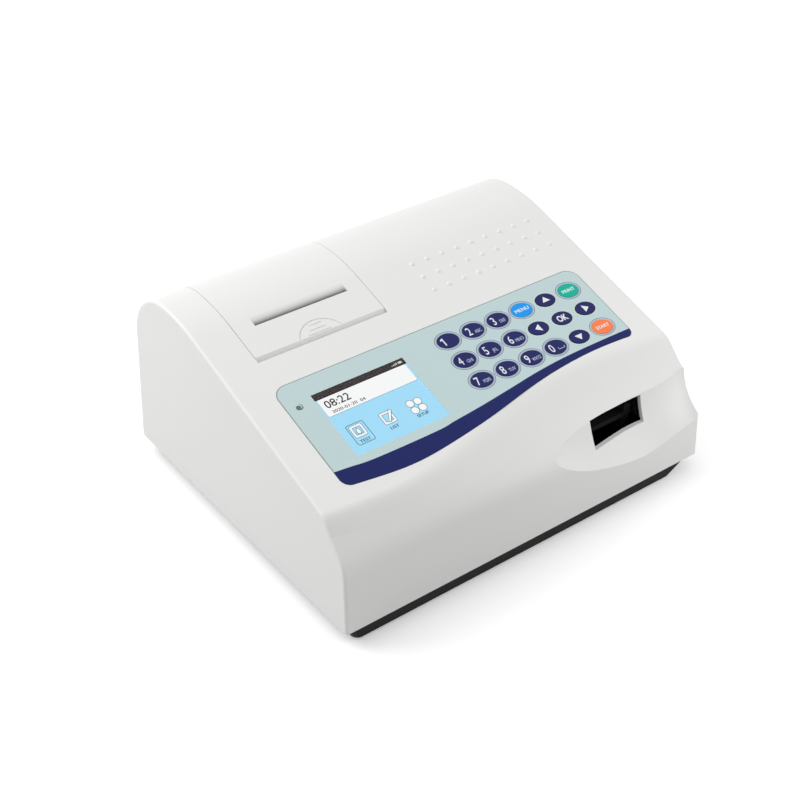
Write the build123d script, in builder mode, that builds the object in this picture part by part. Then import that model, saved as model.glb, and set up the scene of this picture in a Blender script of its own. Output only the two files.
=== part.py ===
from build123d import *
from math import asin, atan2, cos, degrees, pi, radians, sin, sqrt, tan
import os

# Bench urine analyzer. Millimetres, +Z up, +Y to the rear. The origin is on the table, below the
# centre of the object. Sizes given "from the left" or "from the front" start at the housing's
# lower left and front edges.

os.makedirs("parts", exist_ok=True)

# ---------------------------------------------------------------- driving dimensions
WIDTH = 291.0            # housing, left to right at its lower rim
HOUSING_DEPTH = 251.0    # housing, front to rear at its lower rim
HOUSING_TOP = 126.5      # highest point above the rim
WALL = 2.8               # housing wall
FOOT_HEIGHT = 2.0        # rubber feet below the pan
PAN_DEPTH = 9.5          # pan below the rim
INLET_FLANGE = 3.0       # mains inlet flange proud of the rear wall
SEAT = 0.3               # gap between two pieces that only rest together
RUN = 0.05               # radial clearance of a shaft in its bore

RIM = PAN_DEPTH + FOOT_HEIGHT             # height of the rim over the table
LEFT = -WIDTH / 2                         # x of the left edge
FRONT = -(HOUSING_DEPTH + INLET_FLANGE) / 2   # y of the front edge
REAR = FRONT + HOUSING_DEPTH

# side profile
PANEL_TILT = 18.157      # control panel, degrees from level
CREST_Y = 202.0          # highest line of the roof, from the front
CREST_R = 125.3          # roof radius ahead of the crest
SHOULDER_R = 42.0        # roof radius behind the crest
REAR_LEAN = 4.16         # rear wall, degrees
SIDE_LEAN_LEFT = 1.67
SIDE_LEAN_RIGHT = 1.51
EDGE_R = 2.0             # rounding of the long side edges
ROUND_STEPS = 4

# control panel, u from the left and v up the slope from the screen's lower edge
SCREEN_EDGE_Y = 47.53
SCREEN_U = 44.6
SCREEN_W = 69.0
SCREEN_H = 51.8
KEY_U = 149.02
KEY_V = 49.98
KEY_PITCH_U = 20.588
KEY_PITCH_V = 18.256
KEY_BIG = (16.2, 11.8)       # full axes of a number key's cap
KEY_SMALL = (15.0, 10.8)     # full axes of an arrow key's cap
KEY_PROUD = 0.5
KEY_GAP = 0.2                # round each cap
KEY_FLANGE = 0.7             # flange beyond the cap
KEY_FLANGE_T = 0.4
OVERLAY_LEFT = 25.3
OVERLAY_RIGHT = 267.9
OVERLAY_TOP = 66.0
OVERLAY_R = 9.0
OVERLAY_T = 0.8
OVERLAY_PROUD = 0.1
OVERLAY_GAP = 0.3
CIRCUIT_T = 0.6
KEY_PAD_U = (134.0, 263.0)
KEY_PAD_V = (4.0, 62.0)
LAMP_UV = (33.2, 47.0)
LAMP_R = 1.5
WINDOW_T = 0.8

# strip tray and its slot
SLOT_LEFT = 201.5
SLOT_RIGHT = 248.0
SLOT_LOW = 38.4
SLOT_HIGH = 57.2
SLOT_BOW = 0.4
TRAY_W = 34.0
TRAY_H = 7.0
TRAY_LOW = 42.2              # underside of the tray above the rim
TRAY_NOSE = 46.0             # front end of the tray, from the front
TRAY_LENGTH = 128.0
STRIP_W = 6.2
STRIP_LENGTH = 108.0
HOLDER_W = 16.0
HOLDER_PROUD = 1.6
MODULE = 1.0
PINION_TEETH = 16
PINION_Y = 62.0
BACKLASH = 0.16

# printer
COVER_LEFT = 30.5
COVER_RIGHT = 128.0
COVER_FRONT = 135.4
BAY_FRONT = 131.5
BAY_GAP = 0.4
COVER_T = 2.4
HINGE_Y = 226.0              # where the cover's rear bead meets the roof
BEAD_R = 2.6
HINGE_PIN_R = 1.0
PAPER_SLOT = (44.6, 115.0)
PAPER_SLOT_FRONT = 157.4
PAPER_SLOT_MOUTH = 7.2
PAPER_SLOT_THROAT = 2.6
ROLL_W = 57.0
ROLL_R = 23.0
ROLL_Y = 193.0
ROLL_Z = 90.0
SPINDLE_R = 6.0
CRADLE_R = 25.0
PRINTER_WALL = 2.5
PLATEN_Y = 163.0
PLATEN_Z = 104.0
PLATEN_R = 5.0
PLATEN_SHAFT_R = 2.0
PLATEN_TEETH = 20
MOTOR_TEETH = 14
GEAR_W = 5.0

# bumps on the roof
BUMP_COLS = 9
BUMP_ROWS = 3
BUMP_U = 168.2
BUMP_PITCH_U = 12.6
BUMP_V = 91.3
BUMP_PITCH_V = 12.85
BUMP_R = 1.8
BUMP_H = 0.85

# base and rear wall
SCREW_R = 1.5
BOSS_R = 4.0
FOOT_R = 7.0
INLET_X = 58.0
INLET_Z = 30.0
SWITCH_X = 96.0
SERIAL_X = 150.0
USB_X = 188.0
PORT_Z = 24.0

# ---------------------------------------------------------------- derived places
TILT = radians(PANEL_TILT)
CREST = Vector(FRONT + CREST_Y, RIM + HOUSING_TOP - CREST_R)       # centre of the roof arc, in Y and Z
SHOULDER = Vector(FRONT + CREST_Y, RIM + HOUSING_TOP - SHOULDER_R)
PANEL_TOP = CREST + Vector(-sin(TILT), cos(TILT)) * CREST_R        # where the panel meets the roof arc


def on_panel(v, depth=0.0):
    """Y and Z of the point at v up the control panel, depth below its surface."""
    y = FRONT + SCREEN_EDGE_Y
    z = PANEL_TOP.Y - (PANEL_TOP.X - y) * tan(TILT)
    return Vector(y + v * cos(TILT) + depth * sin(TILT), z + v * sin(TILT) - depth * cos(TILT))


def panel_plane(depth=0.0):
    """The control panel's plane, its own x along u and y along v, depth below the surface."""
    corner = on_panel(0, depth)
    return Plane(origin=(LEFT, corner.X, corner.Y), x_dir=(1, 0, 0), z_dir=(0, -sin(TILT), cos(TILT)))


def side_plane(x):
    """A plane across the object at x from the left, its own x along Y and y along Z."""
    return Plane.YZ.offset(LEFT + x)


def yz(y, z):
    """A point of a side plane at y from the front and z above the rim."""
    return Vector(FRONT + y, RIM + z)


# ---------------------------------------------------------------- front sculpture
# Across the front the panel breaks along a wavy brow, drops to a foot line, and swells into a bulge
# that turns down into the front wall. Each station: x from the left, the brow's corner (v on the
# panel), how far behind it the rounding starts, the foot (from the front and above the rim), and
# the slope in degrees of the bulge just below the foot.
STATIONS = [
    (0.0, -28.0, 3.5, 14.6, 63.8, 50),
    (25.0, -30.0, 3.5, 10.8, 61.9, 51),
    (55.0, -31.8, 4.0, 8.4, 60.4, 53),
    (85.0, -30.4, 5.5, 7.8, 59.7, 54),
    (115.0, -24.6, 7.5, 9.8, 59.9, 52),
    (145.0, -16.8, 8.5, 14.3, 61.2, 48),
    (175.0, -10.6, 7.0, 20.0, 62.8, 43),
    (205.0, -8.4, 5.5, 24.2, 63.8, 40),
    (235.0, -9.4, 6.0, 25.4, 64.2, 39),
    (265.0, -12.2, 5.5, 24.4, 64.5, 38),
    (WIDTH, -14.4, 5.0, 22.4, 64.6, 38),
]
FRONT_WALL_TOP = 36.0        # where the bulge ends in the front wall
FRONT_WALL_IN = 1.1          # and how far it leans back there


def heading(slope):
    """Unit vector that runs forward and down at the slope, in degrees."""
    return Vector(-cos(radians(slope)), -sin(radians(slope)))


def front_curves(station, wall=0.0):
    """Brow, foot and wall points of one station with their handles, moved inwards by the wall."""
    x, corner_v, setback, foot_y, foot_z, swell = station
    brow = on_panel(corner_v + setback, wall)
    corner = on_panel(corner_v, wall) + heading(PANEL_TILT) * (-0.4 * wall)
    middle = radians(swell + 5)
    foot = yz(foot_y, foot_z) + Vector(sin(middle), -cos(middle)) * wall
    knee = yz(FRONT_WALL_IN + wall, FRONT_WALL_TOP)
    drop_handle = corner + (foot - corner) * 0.35
    swell_handle = foot + heading(swell) * (0.5 * (foot - knee).length)
    knee_handle = knee + Vector(0, 0.5 * (foot.Y - knee.Y))
    return brow, corner, drop_handle, foot, swell_handle, knee_handle, knee


def body_section(station, wall=0.0, floor=0.0):
    """One closed section of the housing's form, in a side plane, moved inwards by the wall."""
    brow, corner, drop_handle, foot, swell_handle, knee_handle, knee = front_curves(station, wall)
    roof = CREST_R - wall
    shoulder = SHOULDER_R - wall
    lean = radians(REAR_LEAN)
    crest = Vector(CREST.X, CREST.Y + roof)
    panel_top = CREST + Vector(-sin(TILT), cos(TILT)) * roof
    shoulder_end = SHOULDER + Vector(cos(lean), sin(lean)) * shoulder
    rear_foot = Vector(REAR - wall / cos(lean) - floor * tan(lean), RIM + floor)
    Line((FRONT + wall, RIM + floor), rear_foot)
    Line(rear_foot, shoulder_end)
    RadiusArc(shoulder_end, crest, -shoulder)
    RadiusArc(crest, panel_top, -roof)
    Line(panel_top, brow)
    Bezier(brow, corner, drop_handle, foot)
    Bezier(foot, swell_handle, knee_handle, knee)
    Line(knee, (FRONT + wall, RIM + floor))


def leaning_plane(x, lean):
    """A plane across the object at x from the left on the rim, leaning to the right by the angle."""
    angle = radians(lean)
    return Plane(origin=(LEFT + x - RIM * tan(angle), 0, 0), x_dir=(0, 1, 0),
                 z_dir=(cos(angle), 0, -sin(angle)))


def station_sketch(plane, station, wall, floor):
    """The section of a station as a face on a plane."""
    with BuildSketch(plane) as sketch:
        with BuildLine():
            body_section(station, wall, floor)
        make_face()
    return sketch.sketch


def body_core(wall=0.0, floor=0.0, side=0.0):
    """The housing's form lofted between two leaning ends, moved inwards by the wall and the side."""
    with BuildPart() as core:
        add(station_sketch(leaning_plane(side, SIDE_LEAN_LEFT), STATIONS[0], wall, floor))
        for station in STATIONS[1:-1]:
            add(station_sketch(side_plane(station[0]), station, wall, floor))
        add(station_sketch(leaning_plane(WIDTH - side, -SIDE_LEAN_RIGHT), STATIONS[-1], wall, floor))
        loft()
    return core.part


def rounded_end(station, place, lean):
    """The rounded rim of one side: the end section shrinks inwards round a quarter circle."""
    with BuildPart() as end:
        for step in range(ROUND_STEPS + 1):
            turn = radians(90 * step / ROUND_STEPS)
            plane = leaning_plane(place(EDGE_R * (1 - sin(turn))), lean)
            add(station_sketch(plane, station, EDGE_R * (1 - cos(turn)), 0.0))
        loft()
    return end.part


# The scoop round the slot: at each station its upper and lower ends and how deep it dishes in.
SCOOP = [
    (146.0, 2.0, 56.0, -5.0, 44.0, 0.6),
    (160.0, 5.4, 54.6, -0.6, 44.6, 1.0),
    (172.0, 10.2, 57.2, 0.4, 39.6, 1.4),
    (186.0, 14.0, 59.2, 0.6, 32.6, 1.6),
    (204.0, 16.2, 60.8, 0.6, 26.4, 1.8),
    (225.0, 17.4, 61.8, 0.6, 21.9, 2.8),
    (246.0, 17.6, 62.2, 0.6, 20.8, 3.6),
    (268.0, 17.4, 62.4, 0.6, 25.4, 3.4),
    (296.0, 17.0, 62.4, 0.6, 35.6, 2.8),
]


def scoop_form(wall=0.0):
    """The dished cut of the scoop, its skin moved into the housing by the wall."""
    with BuildPart() as scoop:
        for x, top_y, top_z, low_y, low_z, dish in SCOOP:
            top = yz(top_y + wall, top_z)
            low = yz(low_y + wall, low_z - wall / 2)
            chord = (low - top).normalized()
            middle = (top + low) * 0.5 + Vector(-chord.Y, chord.X) * dish
            with BuildSketch(side_plane(x)):
                with BuildLine():
                    arc = ThreePointArc(top, middle, low)
                    above = top - (arc % 0) * 12
                    below = low + (arc % 1) * 8
                    Line(low, below)
                    Line(below, yz(-30, 0))
                    Line(yz(-30, 0), yz(-30, 80))
                    Line(yz(-30, 80), above)
                    Line(above, top)
                make_face()
        loft()
    return scoop.part


def roof_ahead(angle, depth=0.0):
    """Point of the roof ahead of the crest at an angle from the vertical, in a side plane."""
    return CREST + Vector(-sin(angle), cos(angle)) * (CREST_R - depth)


def roof_behind(angle, depth=0.0):
    """Point of the roof behind the crest at an angle from the vertical, in a side plane."""
    return SHOULDER + Vector(sin(angle), cos(angle)) * (SHOULDER_R - depth)


HINGE_ANGLE = atan2(HINGE_Y - CREST_Y, sqrt(SHOULDER_R**2 - (HINGE_Y - CREST_Y) ** 2))
HINGE = roof_behind(HINGE_ANGLE, BEAD_R)


def overlay_outline(grow=0.0):
    """Outline of the keypad sheet on the panel: straight sides, round upper corners, wavy lower edge."""
    left = OVERLAY_LEFT - grow
    right = OVERLAY_RIGHT + grow
    top = OVERLAY_TOP + grow
    radius = OVERLAY_R + grow
    wave = [(40, -17.0), (70, -20.0), (105, -17.6), (140, -12.4), (175, -5.6), (205, -1.6),
            (235, -0.2), (258, -1.2)]
    left_end = (left + 6.0, -15.8 - grow)
    right_end = (right - 5.0, -1.6 - grow)
    Line((left, -9.0), (left, top - radius))
    RadiusArc((left, top - radius), (left + radius, top), radius)
    Line((left + radius, top), (right - radius, top))
    RadiusArc((right - radius, top), (right, top - radius), radius)
    Line((right, top - radius), (right, 4.0))
    TangentArc((right, 4.0), right_end, tangent=(0, -1))
    Spline(left_end, *[(u, v - grow) for u, v in wave], right_end)
    TangentArc((left, -9.0), left_end, tangent=(0, -1))


KEYS = {
    "key_1": (0, 0), "key_2": (1, 0), "key_3": (2, 0), "key_menu": (3, 0), "key_up": (4, 0),
    "key_print": (5, 0), "key_4": (0, 1), "key_5": (1, 1), "key_6": (2, 1), "key_left": (3, 1),
    "key_ok": (4, 1), "key_right": (5, 1), "key_7": (0, 2), "key_8": (1, 2), "key_9": (2, 2),
    "key_0": (3, 2), "key_down": (4, 2), "key_start": (5, 2),
}
SMALL_KEYS = ("key_up", "key_left", "key_ok", "key_right", "key_down")


def key_place(name):
    """Centre of a key on the panel and the full axes of its cap."""
    column, row = KEYS[name]
    size = KEY_SMALL if name in SMALL_KEYS else KEY_BIG
    return (KEY_U + KEY_PITCH_U * column, KEY_V - KEY_PITCH_V * row), size


def rod(x, y, z, radius, length):
    """A round bar along X from x, centred at y from the front and z above the rim."""
    with BuildPart() as bar:
        with BuildSketch(side_plane(x)):
            with Locations(yz(y, z)):
                Circle(radius)
        extrude(amount=length)
    return bar.part


def box_between(x, y, z):
    """A block from low to high x, y and z, each pair from the left, the front and the rim."""
    with BuildPart() as block:
        with BuildSketch(Plane.XY.offset(RIM + z[0])):
            with Locations((LEFT + (x[0] + x[1]) / 2, FRONT + (y[0] + y[1]) / 2)):
                Rectangle(x[1] - x[0], y[1] - y[0])
        extrude(amount=z[1] - z[0])
    return block.part


def post(x, y, low, high, radius):
    """An upright round post at x and y between two heights above the rim."""
    with BuildPart() as pillar:
        with BuildSketch(Plane.XY.offset(RIM + low)):
            with Locations((LEFT + x, FRONT + y)):
                Circle(radius)
        extrude(amount=high - low)
    return pillar.part


def save(part, name):
    """Label a finished piece and write it."""
    part.label = name
    export_step(part, f"parts/{name}.step")


def gear_outline(teeth, module, backlash):
    """Outline points of an involute spur gear about the origin, with a tooth centred on +X."""
    pitch_r = module * teeth / 2
    base_r = pitch_r * cos(radians(20))
    tip_r = pitch_r + 0.9 * module
    root_r = pitch_r - 1.2 * module
    half = pi / (2 * teeth) - backlash / (4 * pitch_r)
    pressure = tan(radians(20)) - radians(20)
    flank = []
    for step in range(4):
        radius = max(base_r, root_r) + (tip_r - max(base_r, root_r)) * step / 3
        roll = sqrt((radius / base_r) ** 2 - 1)
        flank.append((radius, half + pressure - (roll - atan2(roll, 1))))
    points = []
    for tooth in range(teeth):
        middle = 2 * pi * tooth / teeth
        lower = [(root_r, half + pressure)] + flank
        points += [(r * cos(middle - a), r * sin(middle - a)) for r, a in lower]
        points += [(r * cos(middle + a), r * sin(middle + a)) for r, a in reversed(lower)]
    return points


# ---------------------------------------------------------------- upper housing
REST = 0.05                  # gap between two pieces stacked on each other
BUMP_ROOT = 1.2              # how far a bump reaches into the wall
FLANGE_T = 2.0               # pan flange inside the rim
SCREW_SPOTS = [(16.0, 44.0), (16.0, 226.0), (256.0, 44.0), (256.0, 226.0)]
HINGE_LUG_R = 3.6
HINGE_LUG = 6.0
HINGE_PIN = 4.5              # how far each pin reaches into the lug and into the cover
HINGE_PLACE = (HINGE.X - FRONT, HINGE.Y - RIM)
BAY_LEFT = COVER_LEFT - BAY_GAP
BAY_RIGHT = COVER_RIGHT + BAY_GAP
PAD_BACK = 4.6               # underside of the thick pad behind the keys
PAD_SIZE = (KEY_PAD_U[1] - KEY_PAD_U[0], KEY_PAD_V[1] - KEY_PAD_V[0])
PAD_CENTRE = (sum(KEY_PAD_U) / 2, sum(KEY_PAD_V) / 2)
OVERLAY_SINK = OVERLAY_T - OVERLAY_PROUD
CIRCUIT_TOP = OVERLAY_SINK + 1.1     # depth of the switch layer's face under the keys
CIRCUIT_SINK = CIRCUIT_TOP + CIRCUIT_T
LCD_SIZE = (77.0, 59.0)
LCD_EARS = (86.0, 67.0)
LCD_EAR_T = 1.6
LCD_BACK = 7.0
LCD_CENTRE = (SCREEN_U + SCREEN_W / 2, SCREEN_H / 2)
INLET_BODY = (27.6, 19.8)
SWITCH_BODY = (13.0, 19.0)
SERIAL_BODY = (19.2, 10.6)
USB_BODY = (13.6, 6.2)


def rear_plane(x, z, out=0.0):
    """A plane on the rear wall at x and z, its own x to the left and y up, moved out of the wall."""
    lean = radians(REAR_LEAN)
    wall_y = FRONT + HOUSING_DEPTH - z * tan(lean)
    return Plane(origin=(LEFT + x, wall_y + out * cos(lean), RIM + z + out * sin(lean)),
                 x_dir=(-1, 0, 0), z_dir=(0, cos(lean), sin(lean)))


with BuildPart() as cavity:
    add(body_core(WALL, -1.0, WALL))
    add(scoop_form(WALL), mode=Mode.SUBTRACT)
    with BuildSketch(panel_plane(WALL - 1)):
        with Locations(PAD_CENTRE):
            RectangleRounded(PAD_SIZE[0] + 6, PAD_SIZE[1] + 6, 6)
    extrude(amount=-(PAD_BACK - WALL + 1), mode=Mode.SUBTRACT)
    for lug_x in (BAY_LEFT - HINGE_LUG, BAY_RIGHT):
        add(rod(lug_x, HINGE_PLACE[0], HINGE_PLACE[1], HINGE_LUG_R, HINGE_LUG), mode=Mode.SUBTRACT)
    for x, y in SCREW_SPOTS:
        add(post(x, y, FLANGE_T + REST, HOUSING_TOP, BOSS_R), mode=Mode.SUBTRACT)

with BuildPart() as bump:
    with BuildSketch(Plane.XZ):
        with BuildLine():
            Polyline((0, BUMP_H), (0, -BUMP_ROOT), (BUMP_R, -BUMP_ROOT), (BUMP_R, 0))
            ball = (BUMP_R**2 + BUMP_H**2) / (2 * BUMP_H)
            half = asin(BUMP_R / ball) / 2
            ThreePointArc((BUMP_R, 0), (ball * sin(half), BUMP_H - ball * (1 - cos(half))), (0, BUMP_H))
        make_face()
    revolve(axis=Axis.Z)

with BuildPart() as upper_housing:
    add(body_core(side=EDGE_R))
    add(rounded_end(STATIONS[0], lambda inset: inset, SIDE_LEAN_LEFT))
    add(rounded_end(STATIONS[-1], lambda inset: WIDTH - inset, -SIDE_LEAN_RIGHT))
    add(scoop_form(), mode=Mode.SUBTRACT)
    # raised bumps on the roof
    with Locations(panel_plane()):
        with Locations(*[(BUMP_U + column * BUMP_PITCH_U, BUMP_V + row * BUMP_PITCH_V)
                         for row in range(BUMP_ROWS) for column in range(BUMP_COLS)]):
            add(bump.part)
    add(cavity.part, mode=Mode.SUBTRACT)
    # screw holes up the bosses
    for x, y in SCREW_SPOTS:
        add(post(x, y, FLANGE_T - 1, FLANGE_T + 14, SCREW_R + RUN), mode=Mode.SUBTRACT)
    # tray slot with bowed upper and lower edges
    with BuildSketch(Plane.XZ.offset(-(FRONT - 10))):
        with BuildLine():
            slot_low, slot_high = RIM + SLOT_LOW, RIM + SLOT_HIGH
            slot_left, slot_right = LEFT + SLOT_LEFT, LEFT + SLOT_RIGHT
            slot_middle = (slot_left + slot_right) / 2
            ThreePointArc((slot_left, slot_low), (slot_middle, slot_low + SLOT_BOW), (slot_right, slot_low))
            Line((slot_right, slot_low), (slot_right, slot_high))
            ThreePointArc((slot_right, slot_high), (slot_middle, slot_high + SLOT_BOW),
                          (slot_left, slot_high))
            Line((slot_left, slot_high), (slot_left, slot_low))
        make_face()
    extrude(amount=-40, mode=Mode.SUBTRACT)
    # printer bay, the bead's groove at its rear and the bore of the hinge pins
    add(box_between((BAY_LEFT, BAY_RIGHT), (BAY_FRONT, HINGE_PLACE[0] + BAY_GAP),
                    (HINGE_PLACE[1] - 12, HOUSING_TOP + 5)), mode=Mode.SUBTRACT)
    add(rod(BAY_LEFT, HINGE_PLACE[0], HINGE_PLACE[1], BEAD_R + BAY_GAP, BAY_RIGHT - BAY_LEFT),
        mode=Mode.SUBTRACT)
    add(rod(BAY_LEFT - HINGE_PIN - REST, HINGE_PLACE[0], HINGE_PLACE[1], HINGE_PIN_R,
            BAY_RIGHT - BAY_LEFT + 2 * HINGE_PIN + 2 * REST), mode=Mode.SUBTRACT)
    # recess of the overlay, the switch layer behind the keys, the screen opening and the lamp
    with BuildSketch(panel_plane(OVERLAY_SINK)):
        with BuildLine():
            overlay_outline(OVERLAY_GAP)
        make_face()
    extrude(amount=4, mode=Mode.SUBTRACT)
    with BuildSketch(panel_plane(CIRCUIT_SINK)):
        with Locations(PAD_CENTRE):
            RectangleRounded(*PAD_SIZE, 3)
    extrude(amount=CIRCUIT_SINK, mode=Mode.SUBTRACT)
    with BuildSketch(panel_plane(WALL + 1)):
        with Locations(LCD_CENTRE):
            RectangleRounded(LCD_SIZE[0] + 2 * SEAT, LCD_SIZE[1] + 2 * SEAT, 1)
        with Locations(LAMP_UV):
            Circle(LAMP_R)
    extrude(amount=WALL + 1, mode=Mode.SUBTRACT)
    # sockets and switch in the rear wall
    for x, z, size in ((INLET_X, INLET_Z, INLET_BODY), (SWITCH_X, INLET_Z, SWITCH_BODY),
                       (SERIAL_X, PORT_Z, SERIAL_BODY), (USB_X, PORT_Z, USB_BODY)):
        with BuildSketch(rear_plane(x, z, 5)):
            Rectangle(size[0] + 2 * SEAT, size[1] + 2 * SEAT)
        extrude(amount=-15, mode=Mode.SUBTRACT)
save(upper_housing.part, "upper_housing")

# ---------------------------------------------------------------- base pan and its fixings
PAN_TOP = ((1.5, 283.3), (0.8, 249.5))       # tub outline at the rim, x and y
PAN_LOW = ((7.5, 270.0), (2.0, 243.0))       # and at its underside
PAN_R = 5.0
PAN_WALL = 2.5
PAN_FLOOR = -PAN_DEPTH + PAN_WALL
FLANGE = ((3.1, 287.9), (3.1, 247.8))
SCREW_CLEAR = 0.2            # round a screw in a plain hole
BASE_HEAD = (3.2, 2.0)       # radius and height of a base screw's head
BASE_BORE = (3.6, 6.0)       # radius and depth of the counterbore for it
BASE_SCREW = 15.0            # length under the head
PILLAR_R = 3.5
BOARD_LOW = 8.0              # underside of the boards above the rim
BOARD_T = 1.6
SCREW_HEAD = (2.7, 1.8)
SCREW_LENGTH = 8.0
BOARD = ((24.0, 184.0), (30.0, 125.0))
BOARD_SPOTS = [(29.0, 35.0), (179.0, 35.0), (29.0, 120.0), (179.0, 120.0)]
SUPPLY = ((44.0, 113.0), (140.0, 222.0))
SUPPLY_SPOTS = [(49.0, 145.0), (108.0, 145.0), (49.0, 217.0), (108.0, 217.0)]
GUIDE_FOOT = (3.0, 2.5)      # underside and thickness of the tray guide's feet
GUIDE_SPOTS = [(195.0, 31.0), (253.0, 31.0), (195.0, 177.0), (253.0, 177.0)]
CRADLE_POST_R = 4.0
CRADLE_POST = 62.0           # top of the standoffs under the paper cradle
CRADLE_BOSS = 4.0            # top of the pan's bosses below them
STANDOFF_STUD = 7.0          # threaded end in the boss
STANDOFF_BORE = 10.0
CRADLE_SPOTS = [(38.0, 168.0), (119.0, 168.0), (38.0, 212.0), (119.0, 212.0)]
FOOT_SPOTS = [(25.0, 22.0), (248.0, 22.0), (25.0, 225.0), (248.0, 225.0)]


def pan_form(low, high, inset):
    """The pan's tapered tub between two heights above the rim, its outline moved inwards."""
    with BuildPart() as form:
        for z in (low, high):
            share = max(0.0, -z / PAN_DEPTH)
            x, y = [[top + (bottom - top) * share for top, bottom in zip(*pair)]
                    for pair in zip(PAN_TOP, PAN_LOW)]
            with BuildSketch(Plane.XY.offset(RIM + z)):
                with Locations((LEFT + sum(x) / 2, FRONT + sum(y) / 2)):
                    RectangleRounded(x[1] - x[0] - 2 * inset, y[1] - y[0] - 2 * inset, PAN_R)
        loft()
    return form.part


def screw(x, y, seat, head, length):
    """A pan head screw pointing down, its head on the seat at x and y."""
    with BuildPart() as fastener:
        add(post(x, y, seat, seat + head[1], head[0]))
        add(post(x, y, seat - length, seat + REST, SCREW_R))
    return fastener.part


with BuildPart() as base_pan:
    add(pan_form(-PAN_DEPTH, -REST, 0.0))
    add(box_between(FLANGE[0], FLANGE[1], (-REST, FLANGE_T)))
    add(pan_form(PAN_FLOOR, FLANGE_T + 1, PAN_WALL), mode=Mode.SUBTRACT)
    for x, y in SCREW_SPOTS:
        add(post(x, y, PAN_FLOOR - 1, FLANGE_T, BASE_BORE[0] + 1.6))
    for x, y in BOARD_SPOTS + SUPPLY_SPOTS:
        add(post(x, y, PAN_FLOOR - 1, BOARD_LOW - REST, PILLAR_R))
    for x, y in GUIDE_SPOTS:
        add(post(x, y, PAN_FLOOR - 1, GUIDE_FOOT[0] - REST, PILLAR_R))
    for x, y in CRADLE_SPOTS:
        add(post(x, y, PAN_FLOOR - 1, CRADLE_BOSS, CRADLE_POST_R))
    for x, y in SCREW_SPOTS:
        add(post(x, y, -PAN_DEPTH - 1, -PAN_DEPTH + BASE_BORE[1], BASE_BORE[0]), mode=Mode.SUBTRACT)
        add(post(x, y, -PAN_DEPTH, FLANGE_T + 1, SCREW_R + SCREW_CLEAR), mode=Mode.SUBTRACT)
    for x, y in BOARD_SPOTS + SUPPLY_SPOTS:
        add(post(x, y, PAN_FLOOR + 2, BOARD_LOW, SCREW_R + RUN), mode=Mode.SUBTRACT)
    for x, y in GUIDE_SPOTS:
        add(post(x, y, PAN_FLOOR + 2, GUIDE_FOOT[0], SCREW_R + RUN), mode=Mode.SUBTRACT)
    for x, y in CRADLE_SPOTS:
        add(post(x, y, PAN_FLOOR + 2, CRADLE_BOSS + 1, SCREW_R + RUN), mode=Mode.SUBTRACT)
save(base_pan.part, "base_pan")

with BuildPart() as cradle_standoffs:
    for x, y in CRADLE_SPOTS:
        add(post(x, y, CRADLE_BOSS + REST, CRADLE_POST, CRADLE_POST_R))
        add(post(x, y, CRADLE_BOSS - STANDOFF_STUD, CRADLE_BOSS + 1, SCREW_R))
        add(post(x, y, CRADLE_POST - STANDOFF_BORE, CRADLE_POST + 1, SCREW_R + RUN), mode=Mode.SUBTRACT)
save(cradle_standoffs.part, "cradle_standoffs")

with BuildPart() as base_screws:
    for x, y in SCREW_SPOTS:
        head_top = -PAN_DEPTH + BASE_BORE[1] - REST
        add(post(x, y, head_top - BASE_HEAD[1], head_top, BASE_HEAD[0]))
        add(post(x, y, head_top - REST, head_top + BASE_SCREW, SCREW_R))
save(base_screws.part, "base_screws")

with BuildPart() as board_screws:
    for x, y in BOARD_SPOTS + SUPPLY_SPOTS:
        add(screw(x, y, BOARD_LOW + BOARD_T + REST, SCREW_HEAD, SCREW_LENGTH))
    for x, y in GUIDE_SPOTS:
        add(screw(x, y, sum(GUIDE_FOOT) + REST, SCREW_HEAD, SCREW_LENGTH))
save(board_screws.part, "board_screws")

with BuildPart() as rubber_feet:
    for x, y in FOOT_SPOTS:
        add(post(x, y, -RIM, -PAN_DEPTH - REST, FOOT_R))
save(rubber_feet.part, "rubber_feet")

# Components on each board: centre x and y, width, depth and height of the square ones, and centre
# x and y, radius and height of the round ones.
CHIPS = [(100, 78, 24, 24, 2.2), (62, 60, 14, 20, 1.8), (62, 92, 14, 20, 1.8), (142, 60, 12, 12, 1.6),
         (142, 96, 30, 9, 8.0), (100, 42, 40, 6, 6.0), (166, 78, 9, 40, 7.0)]
CANS = [(40, 50, 4, 10), (40, 72, 4, 10), (40, 94, 4, 10), (124, 110, 4, 10)]
SUPPLY_BLOCKS = [(78, 180, 34, 30, 28.0), (60, 206, 16, 12, 16.0), (96, 206, 18, 14, 20.0),
                 (100, 160, 4, 30, 30.0), (58, 160, 14, 12, 12.0)]
SUPPLY_CANS = [(78, 152, 8, 30), (52, 182, 5, 18)]
BOARD_TOP = BOARD_LOW + BOARD_T


def board(outline, blocks, cans, spots):
    """A circuit board with its square and round components and its screw holes."""
    with BuildPart() as circuit:
        add(box_between(*outline, (BOARD_LOW, BOARD_TOP)))
        for x, y, width, depth, height in blocks:
            add(box_between((x - width / 2, x + width / 2), (y - depth / 2, y + depth / 2),
                            (BOARD_TOP, BOARD_TOP + height)))
        for x, y, radius, height in cans:
            add(post(x, y, BOARD_TOP, BOARD_TOP + height, radius))
        for x, y in spots:
            add(post(x, y, BOARD_LOW - 1, BOARD_TOP + 1, SCREW_R + SCREW_CLEAR), mode=Mode.SUBTRACT)
    return circuit.part


save(board(BOARD, CHIPS, CANS, BOARD_SPOTS), "main_board")
save(board(SUPPLY, SUPPLY_BLOCKS, SUPPLY_CANS, SUPPLY_SPOTS), "power_supply")

# ---------------------------------------------------------------- control panel
WINDOW_GAP = 0.15
FLANGE_TOP = OVERLAY_SINK + 0.15     # depth of a key's flange
POCKET_GAP = 0.3             # round a key's flange in the switch layer
LENS_DOME = 0.4
LAMP_RIM = (2.4, 1.2)

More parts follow.
